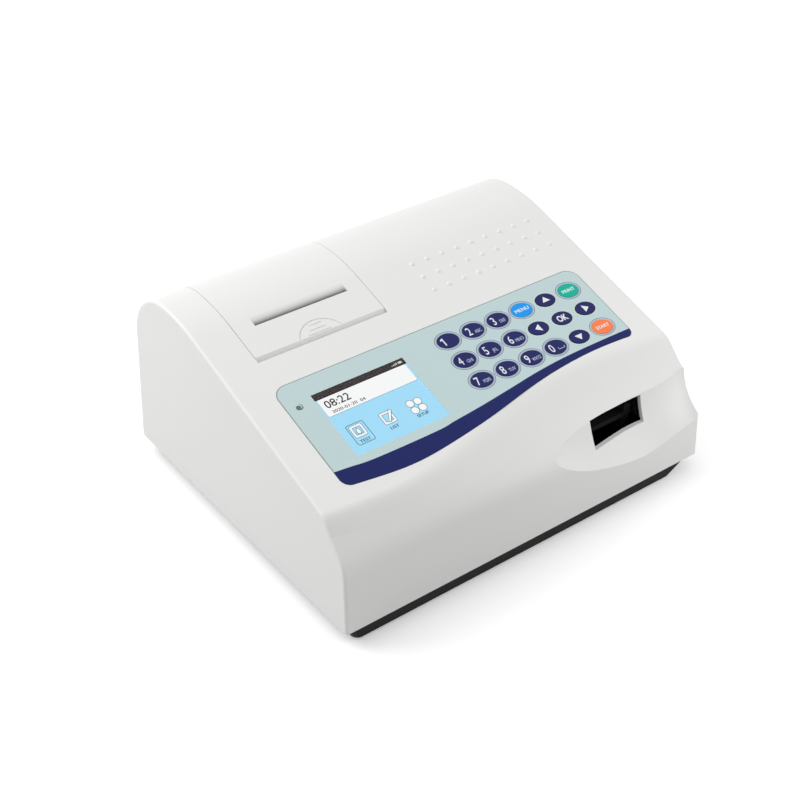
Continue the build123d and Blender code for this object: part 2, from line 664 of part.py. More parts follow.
with BuildPart() as front_overlay:
    with BuildSketch(panel_plane(OVERLAY_SINK)):
        with BuildLine():
            overlay_outline()
        make_face()
        with Locations(LCD_CENTRE):
            Rectangle(SCREEN_W, SCREEN_H, mode=Mode.SUBTRACT)
        with Locations(LAMP_UV):
            Circle(LAMP_R + SEAT, mode=Mode.SUBTRACT)
        for name in KEYS:
            centre, size = key_place(name)
            with Locations(centre):
                Ellipse(size[0] / 2 + KEY_GAP, size[1] / 2 + KEY_GAP, mode=Mode.SUBTRACT)
    extrude(amount=OVERLAY_T)
save(front_overlay.part, "front_overlay")

with BuildPart() as display_window:
    with BuildSketch(panel_plane(OVERLAY_SINK)):
        with Locations(LCD_CENTRE):
            Rectangle(SCREEN_W - 2 * WINDOW_GAP, SCREEN_H - 2 * WINDOW_GAP)
    extrude(amount=WINDOW_T)
save(display_window.part, "display_window")

with BuildPart() as lcd_module:
    with BuildSketch(panel_plane(LCD_BACK)):
        with Locations(LCD_CENTRE):
            RectangleRounded(*LCD_SIZE, 0.7)
    extrude(amount=LCD_BACK - OVERLAY_SINK - REST)
    with BuildSketch(panel_plane(WALL + REST)):
        with Locations(LCD_CENTRE):
            RectangleRounded(*LCD_EARS, 2)
    extrude(amount=-LCD_EAR_T)
save(lcd_module.part, "lcd_module")

with BuildPart() as keypad_circuit:
    with BuildSketch(panel_plane(CIRCUIT_SINK - REST)):
        with Locations(PAD_CENTRE):
            RectangleRounded(PAD_SIZE[0] - 2 * SEAT, PAD_SIZE[1] - 2 * SEAT, 3 - SEAT)
    extrude(amount=CIRCUIT_SINK - OVERLAY_SINK - 2 * REST)
    with BuildSketch(panel_plane(CIRCUIT_TOP)):
        for name in KEYS:
            centre, size = key_place(name)
            with Locations(centre):
                Ellipse(size[0] / 2 + KEY_FLANGE + POCKET_GAP, size[1] / 2 + KEY_FLANGE + POCKET_GAP)
    extrude(amount=CIRCUIT_TOP, mode=Mode.SUBTRACT)
save(keypad_circuit.part, "keypad_circuit")

with BuildPart() as power_lamp:
    with BuildSketch(panel_plane(WALL + REST)):
        with Locations(LAMP_UV):
            Circle(LAMP_R - RUN)
    extrude(amount=WALL + REST + OVERLAY_PROUD)
    fillet(power_lamp.edges().sort_by(Axis.Z)[-1], LENS_DOME)
    with BuildSketch(panel_plane(WALL + REST)):
        with Locations(LAMP_UV):
            Circle(LAMP_RIM[0])
    extrude(amount=-LAMP_RIM[1])
save(power_lamp.part, "power_lamp")

for name in KEYS:
    centre, size = key_place(name)
    with BuildPart() as key:
        with BuildSketch(panel_plane(FLANGE_TOP + KEY_FLANGE_T)):
            with Locations(centre):
                Ellipse(size[0] / 2 + KEY_FLANGE, size[1] / 2 + KEY_FLANGE)
        extrude(amount=KEY_FLANGE_T)
        with BuildSketch(panel_plane(FLANGE_TOP)):
            with Locations(centre):
                Ellipse(size[0] / 2, size[1] / 2)
        extrude(amount=FLANGE_TOP + KEY_PROUD)
        fillet(key.edges().sort_by(lambda edge: (edge.center() - panel_plane().origin).dot(
            panel_plane().z_dir))[-1], KEY_PROUD * 0.6)
    save(key.part, name)

# ---------------------------------------------------------------- printer cover
LIP_SLOPE = 60               # front face of the cover, degrees
LIP_DROP = 6.0               # length of that face
GUIDE_DEPTH = 7.5            # how far the paper guide reaches below the roof
GUIDE_WALL = 2.5
LIP_R = 6.68                 # rolled rear edge of the paper slot
THUMB = (79.6, 87.1, 17.0)   # centre u, v and radius of the thumb mark
THUMB_LINES = [(79.5, 101.1, 9.0), (79.0, 97.2, 12.0), (78.5, 94.0, 17.0)]
GROOVE = (1.0, 0.5)
RIDGE = (0.9, 0.35)

with BuildPart() as printer_cover:
    with BuildSketch(side_plane(COVER_LEFT)):
        with BuildLine():
            lip_v = (COVER_FRONT - SCREEN_EDGE_Y) / cos(TILT)
            lip_top = on_panel(lip_v)
            lip_low = lip_top + heading(LIP_SLOPE) * LIP_DROP
            lip_back = lip_low + Vector(COVER_T, 0)
            lip_inner = on_panel(lip_v + COVER_T / 2, COVER_T)
            Line(lip_top, PANEL_TOP)
            ThreePointArc(PANEL_TOP, roof_ahead(TILT / 2), roof_ahead(0))
            ThreePointArc(roof_behind(0), roof_behind(HINGE_ANGLE / 2), roof_behind(HINGE_ANGLE))
            Line(roof_behind(HINGE_ANGLE), roof_behind(HINGE_ANGLE, COVER_T))
            ThreePointArc(roof_behind(HINGE_ANGLE, COVER_T), roof_behind(HINGE_ANGLE / 2, COVER_T),
                          roof_behind(0, COVER_T))
            ThreePointArc(roof_ahead(0, COVER_T), roof_ahead(TILT / 2, COVER_T), roof_ahead(TILT, COVER_T))
            Line(roof_ahead(TILT, COVER_T), lip_inner)
            Line(lip_inner, lip_back)
            Line(lip_back, lip_low)
            Line(lip_low, lip_top)
        make_face()
        with Locations(HINGE):
            Circle(BEAD_R)
    extrude(amount=COVER_RIGHT - COVER_LEFT)
    # paper guide below the slot
    slot_v = (PAPER_SLOT_FRONT - SCREEN_EDGE_Y) / cos(TILT)
    guide_low = on_panel(slot_v).Y - GUIDE_DEPTH
    with BuildSketch(side_plane(PAPER_SLOT[0] - GUIDE_WALL)):
        with BuildLine():
            guide_front = on_panel(slot_v - GUIDE_WALL, COVER_T / 2)
            guide_rear = on_panel(slot_v + PAPER_SLOT_MOUTH + GUIDE_WALL, COVER_T / 2)
            Polyline(guide_front, guide_rear, (guide_rear.X, guide_low), (guide_front.X, guide_low),
                     close=True)
        make_face()
    extrude(amount=PAPER_SLOT[1] - PAPER_SLOT[0] + 2 * GUIDE_WALL)
    with BuildSketch(side_plane(PAPER_SLOT[0])):
        with BuildLine():
            lip_end = on_panel(slot_v + PAPER_SLOT_MOUTH / cos(TILT))
            lip_centre = lip_end + Vector(sin(TILT), -cos(TILT)) * LIP_R
            lip_middle = lip_centre + Vector(-cos(TILT / 2 + pi / 4), sin(TILT / 2 + pi / 4)) * LIP_R
            lip_start = Vector(FRONT + PAPER_SLOT_FRONT + PAPER_SLOT_THROAT, lip_centre.Y)
            top_front = Vector(FRONT + PAPER_SLOT_FRONT, lip_end.Y + 10)
            Polyline(lip_end, (lip_end.X, top_front.Y), top_front, (top_front.X, guide_low - 1),
                     (lip_start.X, guide_low - 1), lip_start)
            ThreePointArc(lip_start, lip_middle, lip_end)
        make_face()
    extrude(amount=PAPER_SLOT[1] - PAPER_SLOT[0], mode=Mode.SUBTRACT)
    # thumb mark at the front edge
    with BuildSketch(panel_plane(GROOVE[1])):
        with Locations(THUMB[:2]):
            Circle(THUMB[2])
            Circle(THUMB[2] - GROOVE[0], mode=Mode.SUBTRACT)
    extrude(amount=GROOVE[1] + 1, mode=Mode.SUBTRACT)
    with BuildSketch(panel_plane(RIDGE[1])):
        for u, v, length in THUMB_LINES:
            with Locations((u, v)):
                SlotOverall(length, RIDGE[0])
    extrude(amount=2 * RIDGE[1])
    for bore_x in (COVER_LEFT - 1, COVER_RIGHT - HINGE_PIN - REST):
        add(rod(bore_x, HINGE_PLACE[0], HINGE_PLACE[1], HINGE_PIN_R, HINGE_PIN + 1 + REST), mode=Mode.SUBTRACT)
save(printer_cover.part, "printer_cover")

with BuildPart() as cover_hinge_pins:
    for pin_x in (BAY_LEFT - HINGE_PIN, COVER_RIGHT - HINGE_PIN):
        add(rod(pin_x, HINGE_PLACE[0], HINGE_PLACE[1], HINGE_PIN_R - RUN, 2 * HINGE_PIN + BAY_GAP))
save(cover_hinge_pins.part, "cover_hinge_pins")

# ---------------------------------------------------------------- strip tray and reader
TRAY_LEFT = 205.0
RACK_ROOT = TRAY_LEFT + TRAY_W
RACK_PITCH_X = RACK_ROOT + 1.2 * MODULE
PINION_X = RACK_PITCH_X + MODULE * PINION_TEETH / 2
RACK_TEETH = (-4, 32)        # first and last tooth counted from the pinion
RACK_Z = (43.2, 48.2)
HOLDER_Y = (50.0, 160.0)
HOLDER_DEEP = 2.0
STRIP_DEEP = 1.2
PAD_Y = (163.5, 171.5)
PAD_W = 10.0
TRAY_TOP = TRAY_LOW + TRAY_H
TRAY_MID = TRAY_LEFT + TRAY_W / 2

with BuildPart() as strip_tray:
    add(box_between((TRAY_LEFT, RACK_ROOT), (TRAY_NOSE, TRAY_NOSE + TRAY_LENGTH), (TRAY_LOW, TRAY_TOP)))
    nose_edges = strip_tray.edges().filter_by(Axis.Z).group_by(Axis.Y)[0]
    fillet(nose_edges, 4)
    add(box_between((TRAY_MID - HOLDER_W / 2 - SEAT, TRAY_MID + HOLDER_W / 2 + SEAT),
                    (HOLDER_Y[0] - SEAT, HOLDER_Y[1] + SEAT), (TRAY_TOP - HOLDER_DEEP, TRAY_TOP + 1)),
        mode=Mode.SUBTRACT)
    add(box_between((TRAY_MID - PAD_W / 2 - SEAT, TRAY_MID + PAD_W / 2 + SEAT),
                    (PAD_Y[0] - SEAT, PAD_Y[1] + SEAT), (TRAY_TOP - 1, TRAY_TOP + 1)), mode=Mode.SUBTRACT)
    half_tip = pi * MODULE / 4 - BACKLASH / 4 - 0.9 * MODULE * tan(radians(20))
    half_root = pi * MODULE / 4 - BACKLASH / 4 + 1.2 * MODULE * tan(radians(20))
    with BuildSketch(Plane.XY.offset(RIM + RACK_Z[0])):
        for tooth in range(RACK_TEETH[0], RACK_TEETH[1] + 1):
            tooth_y = FRONT + PINION_Y + (tooth + 0.5) * pi * MODULE
            root_x = LEFT + RACK_ROOT
            tip_x = root_x + 2.1 * MODULE
            with BuildLine():
                Polyline((root_x - 0.5, tooth_y - half_root), (root_x, tooth_y - half_root),
                         (tip_x, tooth_y - half_tip), (tip_x, tooth_y + half_tip),
                         (root_x, tooth_y + half_root), (root_x - 0.5, tooth_y + half_root), close=True)
            make_face()
    extrude(amount=RACK_Z[1] - RACK_Z[0])
save(strip_tray.part, "strip_tray")

with BuildPart() as strip_holder:
    add(box_between((TRAY_MID - HOLDER_W / 2, TRAY_MID + HOLDER_W / 2), HOLDER_Y,
                    (TRAY_TOP - HOLDER_DEEP + REST, TRAY_TOP + HOLDER_PROUD)))
    add(box_between((TRAY_MID - STRIP_W / 2, TRAY_MID + STRIP_W / 2), (HOLDER_Y[0] - 1, HOLDER_Y[0] + STRIP_LENGTH),
                    (TRAY_TOP + HOLDER_PROUD - STRIP_DEEP, TRAY_TOP + HOLDER_PROUD + 1)), mode=Mode.SUBTRACT)
save(strip_holder.part, "strip_holder")

with BuildPart() as reference_pad:
    add(box_between((TRAY_MID - PAD_W / 2, TRAY_MID + PAD_W / 2), PAD_Y, (TRAY_TOP - 1 + REST, TRAY_TOP)))
save(reference_pad.part, "reference_pad")

SLIDE_GAP = 0.2              # under and over the tray
SIDE_GAP = 0.25              # beside it
GUIDE_FLOOR = (38.5, TRAY_LOW - SLIDE_GAP)
GUIDE_Y = (24.0, 185.0)
GUIDE_LEFT = (200.5, TRAY_LEFT - SIDE_GAP)
GUIDE_RIGHT = (RACK_ROOT + 2.1 * MODULE + SIDE_GAP, 247.0)
GUIDE_WALL_TOP = 48.0
GUIDE_LEG = (206.5, 241.0)   # inner faces of the left and right legs
GUIDE_PAD = 6.0              # half depth of a leg's foot
GUIDE_LEDGE = (1.6, 3.0)     # reach over the tray's left edge, and its top above the tray
HEAD_Y = (92.0, 138.0)
HEAD_LOW = 56.2
PINION_Z = (42.6, 48.8)
MOTOR_R = 12.5
MOTOR_Z = (12.0, 36.0)
MOTOR_SHAFT_R = 1.5
SHAFT_LOW = MOTOR_Z[0] + 8
EAR = (14.0, 2.4)            # half width and thickness of the motor's ear plate

with BuildPart() as tray_guide:
    add(box_between((GUIDE_LEFT[0], GUIDE_RIGHT[1]), GUIDE_Y, GUIDE_FLOOR))
    for side in (GUIDE_LEFT, GUIDE_RIGHT):
        add(box_between(side, GUIDE_Y, (GUIDE_FLOOR[0], GUIDE_WALL_TOP)))
        add(box_between(side, HEAD_Y, (GUIDE_FLOOR[0], HEAD_LOW - REST)))
    add(box_between((GUIDE_LEFT[0], TRAY_LEFT + GUIDE_LEDGE[0]), HEAD_Y,
                    (TRAY_TOP + SLIDE_GAP, TRAY_TOP + GUIDE_LEDGE[1])))
    for x, y in GUIDE_SPOTS:
        depth = (y - GUIDE_PAD, y + GUIDE_PAD)
        foot, leg = (x - PILLAR_R - 1.5, GUIDE_LEG[0]), (GUIDE_LEFT[0], GUIDE_LEG[0])
        if x > TRAY_MID:
            foot, leg = (GUIDE_LEG[1], x + PILLAR_R + 1.5), (GUIDE_LEG[1], GUIDE_RIGHT[1])
        add(box_between(foot, depth, (GUIDE_FOOT[0], sum(GUIDE_FOOT))))
        add(box_between(leg, depth, (GUIDE_FOOT[0], GUIDE_FLOOR[0] + 1)))
        add(post(x, y, GUIDE_FOOT[0] - 1, sum(GUIDE_FOOT) + 1, SCREW_R + SCREW_CLEAR), mode=Mode.SUBTRACT)
    # ear plate of the motor and room for the pinion
    add(box_between((GUIDE_RIGHT[0], PINION_X + EAR[0]), (PINION_Y - EAR[0], PINION_Y + EAR[0]),
                    (MOTOR_Z[1] + REST, MOTOR_Z[1] + REST + EAR[1])))
    add(box_between((GUIDE_RIGHT[0], GUIDE_RIGHT[1]), (PINION_Y - EAR[0], PINION_Y + EAR[0]),
                    (MOTOR_Z[1] + REST, GUIDE_FLOOR[0] + 1)))
    add(post(PINION_X, PINION_Y, GUIDE_FLOOR[0] + 1, HEAD_LOW, MODULE * (PINION_TEETH / 2 + 1) + 0.5),
        mode=Mode.SUBTRACT)
    add(post(PINION_X, PINION_Y, MOTOR_Z[1] - 1, GUIDE_FLOOR[0] + 2, MOTOR_SHAFT_R + 1), mode=Mode.SUBTRACT)
save(tray_guide.part, "tray_guide")

with BuildPart() as drive_pinion:
    with BuildSketch(Plane.XY.offset(RIM + PINION_Z[0])):
        with Locations((LEFT + PINION_X, FRONT + PINION_Y)):
            Polygon(*gear_outline(PINION_TEETH, MODULE, BACKLASH), align=None)
    extrude(amount=PINION_Z[1] - PINION_Z[0])
    add(post(PINION_X, PINION_Y, SHAFT_LOW, PINION_Z[0] + 1, MOTOR_SHAFT_R))
save(drive_pinion.part, "drive_pinion")

with BuildPart() as tray_motor:
    add(post(PINION_X, PINION_Y, MOTOR_Z[0], MOTOR_Z[1], MOTOR_R))
    chamfer(tray_motor.edges().filter_by(GeomType.CIRCLE), 1)
    add(post(PINION_X, PINION_Y, SHAFT_LOW - REST, MOTOR_Z[1] + 1, MOTOR_SHAFT_R + RUN),
        mode=Mode.SUBTRACT)
save(tray_motor.part, "tray_motor")

HEAD_X = (GUIDE_LEFT[0] + 0.5, GUIDE_RIGHT[1] - 0.5)
HEAD_TOP = 80.0
READ_PANE = (14.0, 12.0, 1.0)
READ_LIP = 2.0
READ_WELL = 16.0             # depth of the light well above the pane

with BuildPart() as optical_head:
    add(box_between(HEAD_X, HEAD_Y, (HEAD_LOW, HEAD_TOP)))
    head_edges = optical_head.edges().group_by(Axis.Z)[-1]
    chamfer(head_edges, 2)
    pane_x = (TRAY_MID - READ_PANE[0] / 2, TRAY_MID + READ_PANE[0] / 2)
    pane_y = (sum(HEAD_Y) / 2 - READ_PANE[1] / 2, sum(HEAD_Y) / 2 + READ_PANE[1] / 2)
    add(box_between((pane_x[0] - SEAT, pane_x[1] + SEAT), (pane_y[0] - SEAT, pane_y[1] + SEAT),
                    (HEAD_LOW - 1, HEAD_LOW + READ_PANE[2] + REST)), mode=Mode.SUBTRACT)
    add(box_between((pane_x[0] + READ_LIP, pane_x[1] - READ_LIP), (pane_y[0] + READ_LIP, pane_y[1] - READ_LIP),
                    (HEAD_LOW, HEAD_LOW + READ_WELL)), mode=Mode.SUBTRACT)
save(optical_head.part, "optical_head")

with BuildPart() as read_window:
    add(box_between(pane_x, pane_y, (HEAD_LOW, HEAD_LOW + READ_PANE[2])))
save(read_window.part, "read_window")

# ---------------------------------------------------------------- paper store and printer
ROLL_X = (50.0, 50.0 + ROLL_W)
PLATE = (43.5, 111.0)        # left faces of the cradle's end plates
CRADLE_T = 2.5
TRUNNION_R = 3.5
PLATE_SHAPE = [(144.0, 86.0), (144.0, 91.7), (170.0, 91.7), (170.0, 98.0), (216.0, 98.0), (216.0, 62.05),
               (166.0, 62.05), (158.0, 86.0)]
SHELF = ((144.0, 168.0), (88.5, 91.7))
CRADLE_EAR = (5.0, 4.0, 2.5)     # half width, half depth and thickness of an ear
FRAME_SPOTS = [(60.0, 147.0), (97.0, 147.0)]

with BuildPart() as paper_cradle:
    for plate_x in PLATE:
        with BuildSketch(side_plane(plate_x)):
            with BuildLine():
                Polyline(*[yz(y, z) for y, z in PLATE_SHAPE], close=True)
            make_face()
            with Locations(yz(ROLL_Y, ROLL_Z)):
                Circle(TRUNNION_R + SEAT, mode=Mode.SUBTRACT)
            with Locations(yz(ROLL_Y, ROLL_Z + 5)):
                Rectangle(2 * (TRUNNION_R + SEAT), 10, mode=Mode.SUBTRACT)
        extrude(amount=CRADLE_T)
    with BuildSketch(side_plane(PLATE[0])):
        with Locations(yz(ROLL_Y, ROLL_Z)):
            Circle(CRADLE_R + CRADLE_T)
            Circle(CRADLE_R, mode=Mode.SUBTRACT)
        with Locations(yz(ROLL_Y, SHELF[1][1] + CRADLE_R + CRADLE_T)):
            Rectangle(4 * CRADLE_R, 2 * (CRADLE_R + CRADLE_T), mode=Mode.SUBTRACT)
    extrude(amount=PLATE[1] + CRADLE_T - PLATE[0])
    add(box_between((PLATE[0], PLATE[1] + CRADLE_T), *SHELF))
    for x, y in CRADLE_SPOTS:
        inner = PLATE[0] + 1 if x < ROLL_X[0] else PLATE[1] + CRADLE_T - 1
        add(box_between((min(x - CRADLE_EAR[0], inner), max(x + CRADLE_EAR[0], inner)),
                        (y - CRADLE_EAR[1], y + CRADLE_EAR[1]),
                        (CRADLE_POST + REST, CRADLE_POST + REST + CRADLE_EAR[2])))
        add(post(x, y, CRADLE_POST - 1, CRADLE_POST + 5, SCREW_R + SCREW_CLEAR), mode=Mode.SUBTRACT)
    for x, y in FRAME_SPOTS:
        add(post(x, y, SHELF[1][0] - 1, SHELF[1][1] + 1, SCREW_R + RUN), mode=Mode.SUBTRACT)
save(paper_cradle.part, "paper_cradle")

FRAME_LOW = SHELF[1][1] + REST
FRAME_T = 2.75
FRAME_PLATES = (42.5, 112.0)
FRAME_PLATE_Y = (149.0, 169.0)
FRAME_TOP = 110.5
PRINTER_MOTOR = (146.27, 101.0)
PRINTER_MOTOR_R = 7.0
PRINTER_MOTOR_X = (14.0, 33.5)
PRINTER_SHAFT_R = 1.0
PRINTER_SHAFT_IN = 4.0       # where the shaft starts inside the motor
GEAR_X = 36.2
PLATEN_SHAFT = 80.0
MOTOR_PLATE = (PRINTER_MOTOR_X[1] + REST, 35.6)
MOTOR_PLATE_SIZE = (8.0, 108.5)  # half depth and top of the motor's plate

with BuildPart() as cradle_screws:
    for x, y in CRADLE_SPOTS:
        add(screw(x, y, CRADLE_POST + 2 * REST + CRADLE_EAR[2], SCREW_HEAD, SCREW_LENGTH))
    for x, y in FRAME_SPOTS:
        add(screw(x, y, FRAME_LOW + FRAME_T + REST, SCREW_HEAD, SCREW_LENGTH))
save(cradle_screws.part, "cradle_screws")

with BuildPart() as printer_frame:
    add(box_between((MOTOR_PLATE[0], FRAME_PLATES[1] + PRINTER_WALL), (144.0, FRAME_PLATE_Y[1]),
                    (FRAME_LOW, FRAME_LOW + FRAME_T)))
    add(box_between((MOTOR_PLATE[1], FRAME_PLATES[0]), (140.0, 180.0), (FRAME_LOW + 1, FRAME_TOP)),
        mode=Mode.SUBTRACT)
    for plate_x in FRAME_PLATES:
        add(box_between((plate_x, plate_x + PRINTER_WALL), FRAME_PLATE_Y, (FRAME_LOW, FRAME_TOP)))
        add(rod(plate_x - 1, PLATEN_Y, PLATEN_Z, PLATEN_SHAFT_R + RUN, PRINTER_WALL + 2), mode=Mode.SUBTRACT)
    add(box_between(MOTOR_PLATE, (PRINTER_MOTOR[0] - MOTOR_PLATE_SIZE[0], PRINTER_MOTOR[0] + MOTOR_PLATE_SIZE[0]),
                    (FRAME_LOW, MOTOR_PLATE_SIZE[1])))
    add(rod(MOTOR_PLATE[0] - 1, *PRINTER_MOTOR, PRINTER_SHAFT_R + 1, 5), mode=Mode.SUBTRACT)
    for x, y in FRAME_SPOTS:
        add(post(x, y, FRAME_LOW - 1, FRAME_LOW + FRAME_T + 1, SCREW_R + SCREW_CLEAR), mode=Mode.SUBTRACT)
save(printer_frame.part, "printer_frame")

with BuildPart() as platen_roller:
    add(rod(FRAME_PLATES[0] + PRINTER_WALL + SEAT, PLATEN_Y, PLATEN_Z, PLATEN_R,
            FRAME_PLATES[1] - FRAME_PLATES[0] - PRINTER_WALL - 2 * SEAT))
    add(rod(GEAR_X, PLATEN_Y, PLATEN_Z, PLATEN_SHAFT_R, PLATEN_SHAFT))
save(platen_roller.part, "platen_roller")


def gear_along_x(x, y, z, teeth, turn, bore):
    """A spur gear on a line along X, turned about its own axis by the angle."""
    with BuildPart() as gear:
        with BuildSketch(side_plane(x)):
            with Locations(Location(yz(y, z), turn)):
                Polygon(*gear_outline(teeth, MODULE, BACKLASH), align=None)
            if bore:
                with Locations(yz(y, z)):
                    Circle(bore, mode=Mode.SUBTRACT)
        extrude(amount=GEAR_W)
    return gear.part


# the line of centres, and the turns that set a tooth of one gear in a space of the other
MESH = degrees(atan2(PLATEN_Z - PRINTER_MOTOR[1], PLATEN_Y - PRINTER_MOTOR[0]))

with BuildPart() as platen_gear:
    add(gear_along_x(GEAR_X, PLATEN_Y, PLATEN_Z, PLATEN_TEETH, MESH + 180 / PLATEN_TEETH,
                     PLATEN_SHAFT_R + RUN))
save(platen_gear.part, "platen_gear")

with BuildPart() as printer_pinion:
    add(gear_along_x(GEAR_X, *PRINTER_MOTOR, MOTOR_TEETH, MESH, 0))
    shaft_x = PRINTER_MOTOR_X[0] + PRINTER_SHAFT_IN
    add(rod(shaft_x, *PRINTER_MOTOR, PRINTER_SHAFT_R, GEAR_X - shaft_x + 1))
save(printer_pinion.part, "printer_pinion")

with BuildPart() as printer_motor:
    add(rod(PRINTER_MOTOR_X[0], *PRINTER_MOTOR, PRINTER_MOTOR_R, PRINTER_MOTOR_X[1] - PRINTER_MOTOR_X[0]))
    add(rod(shaft_x - REST, *PRINTER_MOTOR, PRINTER_SHAFT_R + RUN, 20), mode=Mode.SUBTRACT)
save(printer_motor.part, "printer_motor")

HEAD_FACE = PLATEN_Y - PLATEN_R - 0.1
HEAT_SINK = ((46.5, 110.5), 151.5, 107.5)        # width, rear face and top of the head's body
HEAD_STRIP = ((50.0, 107.0), 0.7, (101.0, 107.0))    # width, step and height of the heated strip
with BuildPart() as print_head:
    add(box_between(HEAT_SINK[0], (HEAT_SINK[1], HEAD_FACE - HEAD_STRIP[1]),
                    (FRAME_LOW + FRAME_T + REST, HEAT_SINK[2])))
    add(box_between(HEAD_STRIP[0], (HEAT_SINK[1], HEAD_FACE), HEAD_STRIP[2]))
save(print_head.part, "print_head")

with BuildPart() as paper_spindle:
    add(rod(PLATE[0] + CRADLE_T + SEAT, ROLL_Y, ROLL_Z, SPINDLE_R, PLATE[1] - PLATE[0] - CRADLE_T - 2 * SEAT))
    add(rod(PLATE[0], ROLL_Y, ROLL_Z, TRUNNION_R, PLATE[1] + CRADLE_T - PLATE[0]))
save(paper_spindle.part, "paper_spindle")

with BuildPart() as paper_roll:
    add(rod(ROLL_X[0], ROLL_Y, ROLL_Z, ROLL_R, ROLL_W))
    add(rod(ROLL_X[0] - 1, ROLL_Y, ROLL_Z, SPINDLE_R + RUN, ROLL_W + 2), mode=Mode.SUBTRACT)
save(paper_roll.part, "paper_roll")

# ---------------------------------------------------------------- rear wall
INLET_RIM = (31.0, 24.0)
INLET_MOUTH = (24.4, 16.4, 3.5)      # width, height and corner cut of the mouth
INLET_DEEP = 16.0
INLET_BACK = 20.0
INLET_PROUD = (INLET_FLANGE + (INLET_Z - INLET_RIM[1] / 2) * tan(radians(REAR_LEAN))) / cos(radians(REAR_LEAN))
BLADES = [(-7.0, -1.6), (7.0, -1.6), (0.0, 2.4)]
BLADE = (2.0, 4.0, 13.0)
SOCKET_RIM = 1.5             # bezel of the switch beyond its body
ROCKER = (9.6, 7.6, 0.5, 3.0)        # width, end radius, pivot depth and half thickness
ROCKER_WELL = 5.5
PIVOT = (1.0, 5.8)           # radius and half length of the rocker's pivot

with BuildPart() as ac_inlet:
    with BuildSketch(rear_plane(INLET_X, INLET_Z, REST)):
        RectangleRounded(*INLET_RIM, 2)
    extrude(amount=INLET_PROUD - REST)
    with BuildSketch(rear_plane(INLET_X, INLET_Z, -INLET_BACK)):
        Rectangle(*INLET_BODY)
    extrude(amount=INLET_BACK + 1)
    with BuildSketch(rear_plane(INLET_X, INLET_Z, INLET_PROUD - INLET_DEEP)):
        half_w, half_h, cut = INLET_MOUTH[0] / 2, INLET_MOUTH[1] / 2, INLET_MOUTH[2]
        Polygon((-half_w, -half_h), (half_w, -half_h), (half_w, half_h - cut), (half_w - cut, half_h),
                (-half_w + cut, half_h), (-half_w, half_h - cut), align=None)
    extrude(amount=INLET_DEEP + 1, mode=Mode.SUBTRACT)
    with BuildSketch(rear_plane(INLET_X, INLET_Z, INLET_PROUD - INLET_DEEP - 1)):
        with Locations(*BLADES):
            Rectangle(BLADE[0], BLADE[1])
    extrude(amount=BLADE[2] + 1)
save(ac_inlet.part, "ac_inlet")

with BuildPart() as switch_body:
    with BuildSketch(rear_plane(SWITCH_X, INLET_Z, REST)):
        RectangleRounded(SWITCH_BODY[0] + 2 * SOCKET_RIM, SWITCH_BODY[1] + 2 * SOCKET_RIM, 1.5)
    extrude(amount=SOCKET_RIM)
    with BuildSketch(rear_plane(SWITCH_X, INLET_Z, -INLET_BACK)):
        Rectangle(*SWITCH_BODY)
    extrude(amount=INLET_BACK + 1)
    with BuildSketch(rear_plane(SWITCH_X, INLET_Z, -ROCKER_WELL)):
        Rectangle(ROCKER[0] + 2 * RUN + 0.2, 2 * (ROCKER[1] + 0.1))
    extrude(amount=ROCKER_WELL + 3, mode=Mode.SUBTRACT)
    pivot = rear_plane(SWITCH_X, INLET_Z, -ROCKER[2]).origin
    add(rod(SWITCH_X - PIVOT[1] - 0.2, pivot.Y - FRONT, pivot.Z - RIM, PIVOT[0] + RUN, 2 * PIVOT[1] + 0.4),
        mode=Mode.SUBTRACT)
save(switch_body.part, "switch_body")


def on_rear(up, out):
    """Y and Z of a point on the switch, up the wall and out of it."""
    lean = radians(REAR_LEAN)
    foot = rear_plane(SWITCH_X, INLET_Z).origin
    return Vector(foot.Y - up * sin(lean) + out * cos(lean), foot.Z + up * cos(lean) + out * sin(lean))


with BuildPart() as power_switch:
    corner = sqrt(ROCKER[1] ** 2 - ROCKER[3] ** 2)
    top_out, low_out = ROCKER[3] - ROCKER[2], -ROCKER[3] - ROCKER[2]
    with BuildSketch(side_plane(SWITCH_X - ROCKER[0] / 2)):
        with BuildLine():
            Polyline(on_rear(corner, top_out), on_rear(0, top_out - 1), on_rear(-corner, top_out))
            ThreePointArc(on_rear(-corner, top_out), on_rear(-ROCKER[1], -ROCKER[2]), on_rear(-corner, low_out))
            Line(on_rear(-corner, low_out), on_rear(corner, low_out))
            ThreePointArc(on_rear(corner, low_out), on_rear(ROCKER[1], -ROCKER[2]), on_rear(corner, top_out))
        make_face()
    extrude(amount=ROCKER[0])
    add(rod(SWITCH_X - PIVOT[1], pivot.Y - FRONT, pivot.Z - RIM, PIVOT[0], 2 * PIVOT[1]))
save(power_switch.part, "power_switch")

SERIAL_SHELL = (17.0, 8.4)
SERIAL_FLANGE = (31.0, 12.5, 1.0)
SERIAL_BACK = 10.0           # how far the body reaches in
SERIAL_PROUD = 3.5           # end of the shell
SERIAL_FLOOR = -2.5          # floor inside the shell
PIN_R = 0.5
PIN_PITCH = (2.76, 1.4)      # along a row, and from the middle to each row
PIN_END = 2.0
PORT_SKIN = 0.5              # sheet thickness of a port's shell
USB_BACK = 12.0
USB_PROUD = 0.8
USB_FLOOR = -8.0
USB_TONGUE = (2.6, 1.6, 1.2)     # narrower than the body by, thickness, and height over the middle
PIN_SPOTS = [(PIN_PITCH[0] * (n - 2), PIN_PITCH[1]) for n in range(5)]
PIN_SPOTS += [(PIN_PITCH[0] * (n - 1.5), -PIN_PITCH[1]) for n in range(4)]

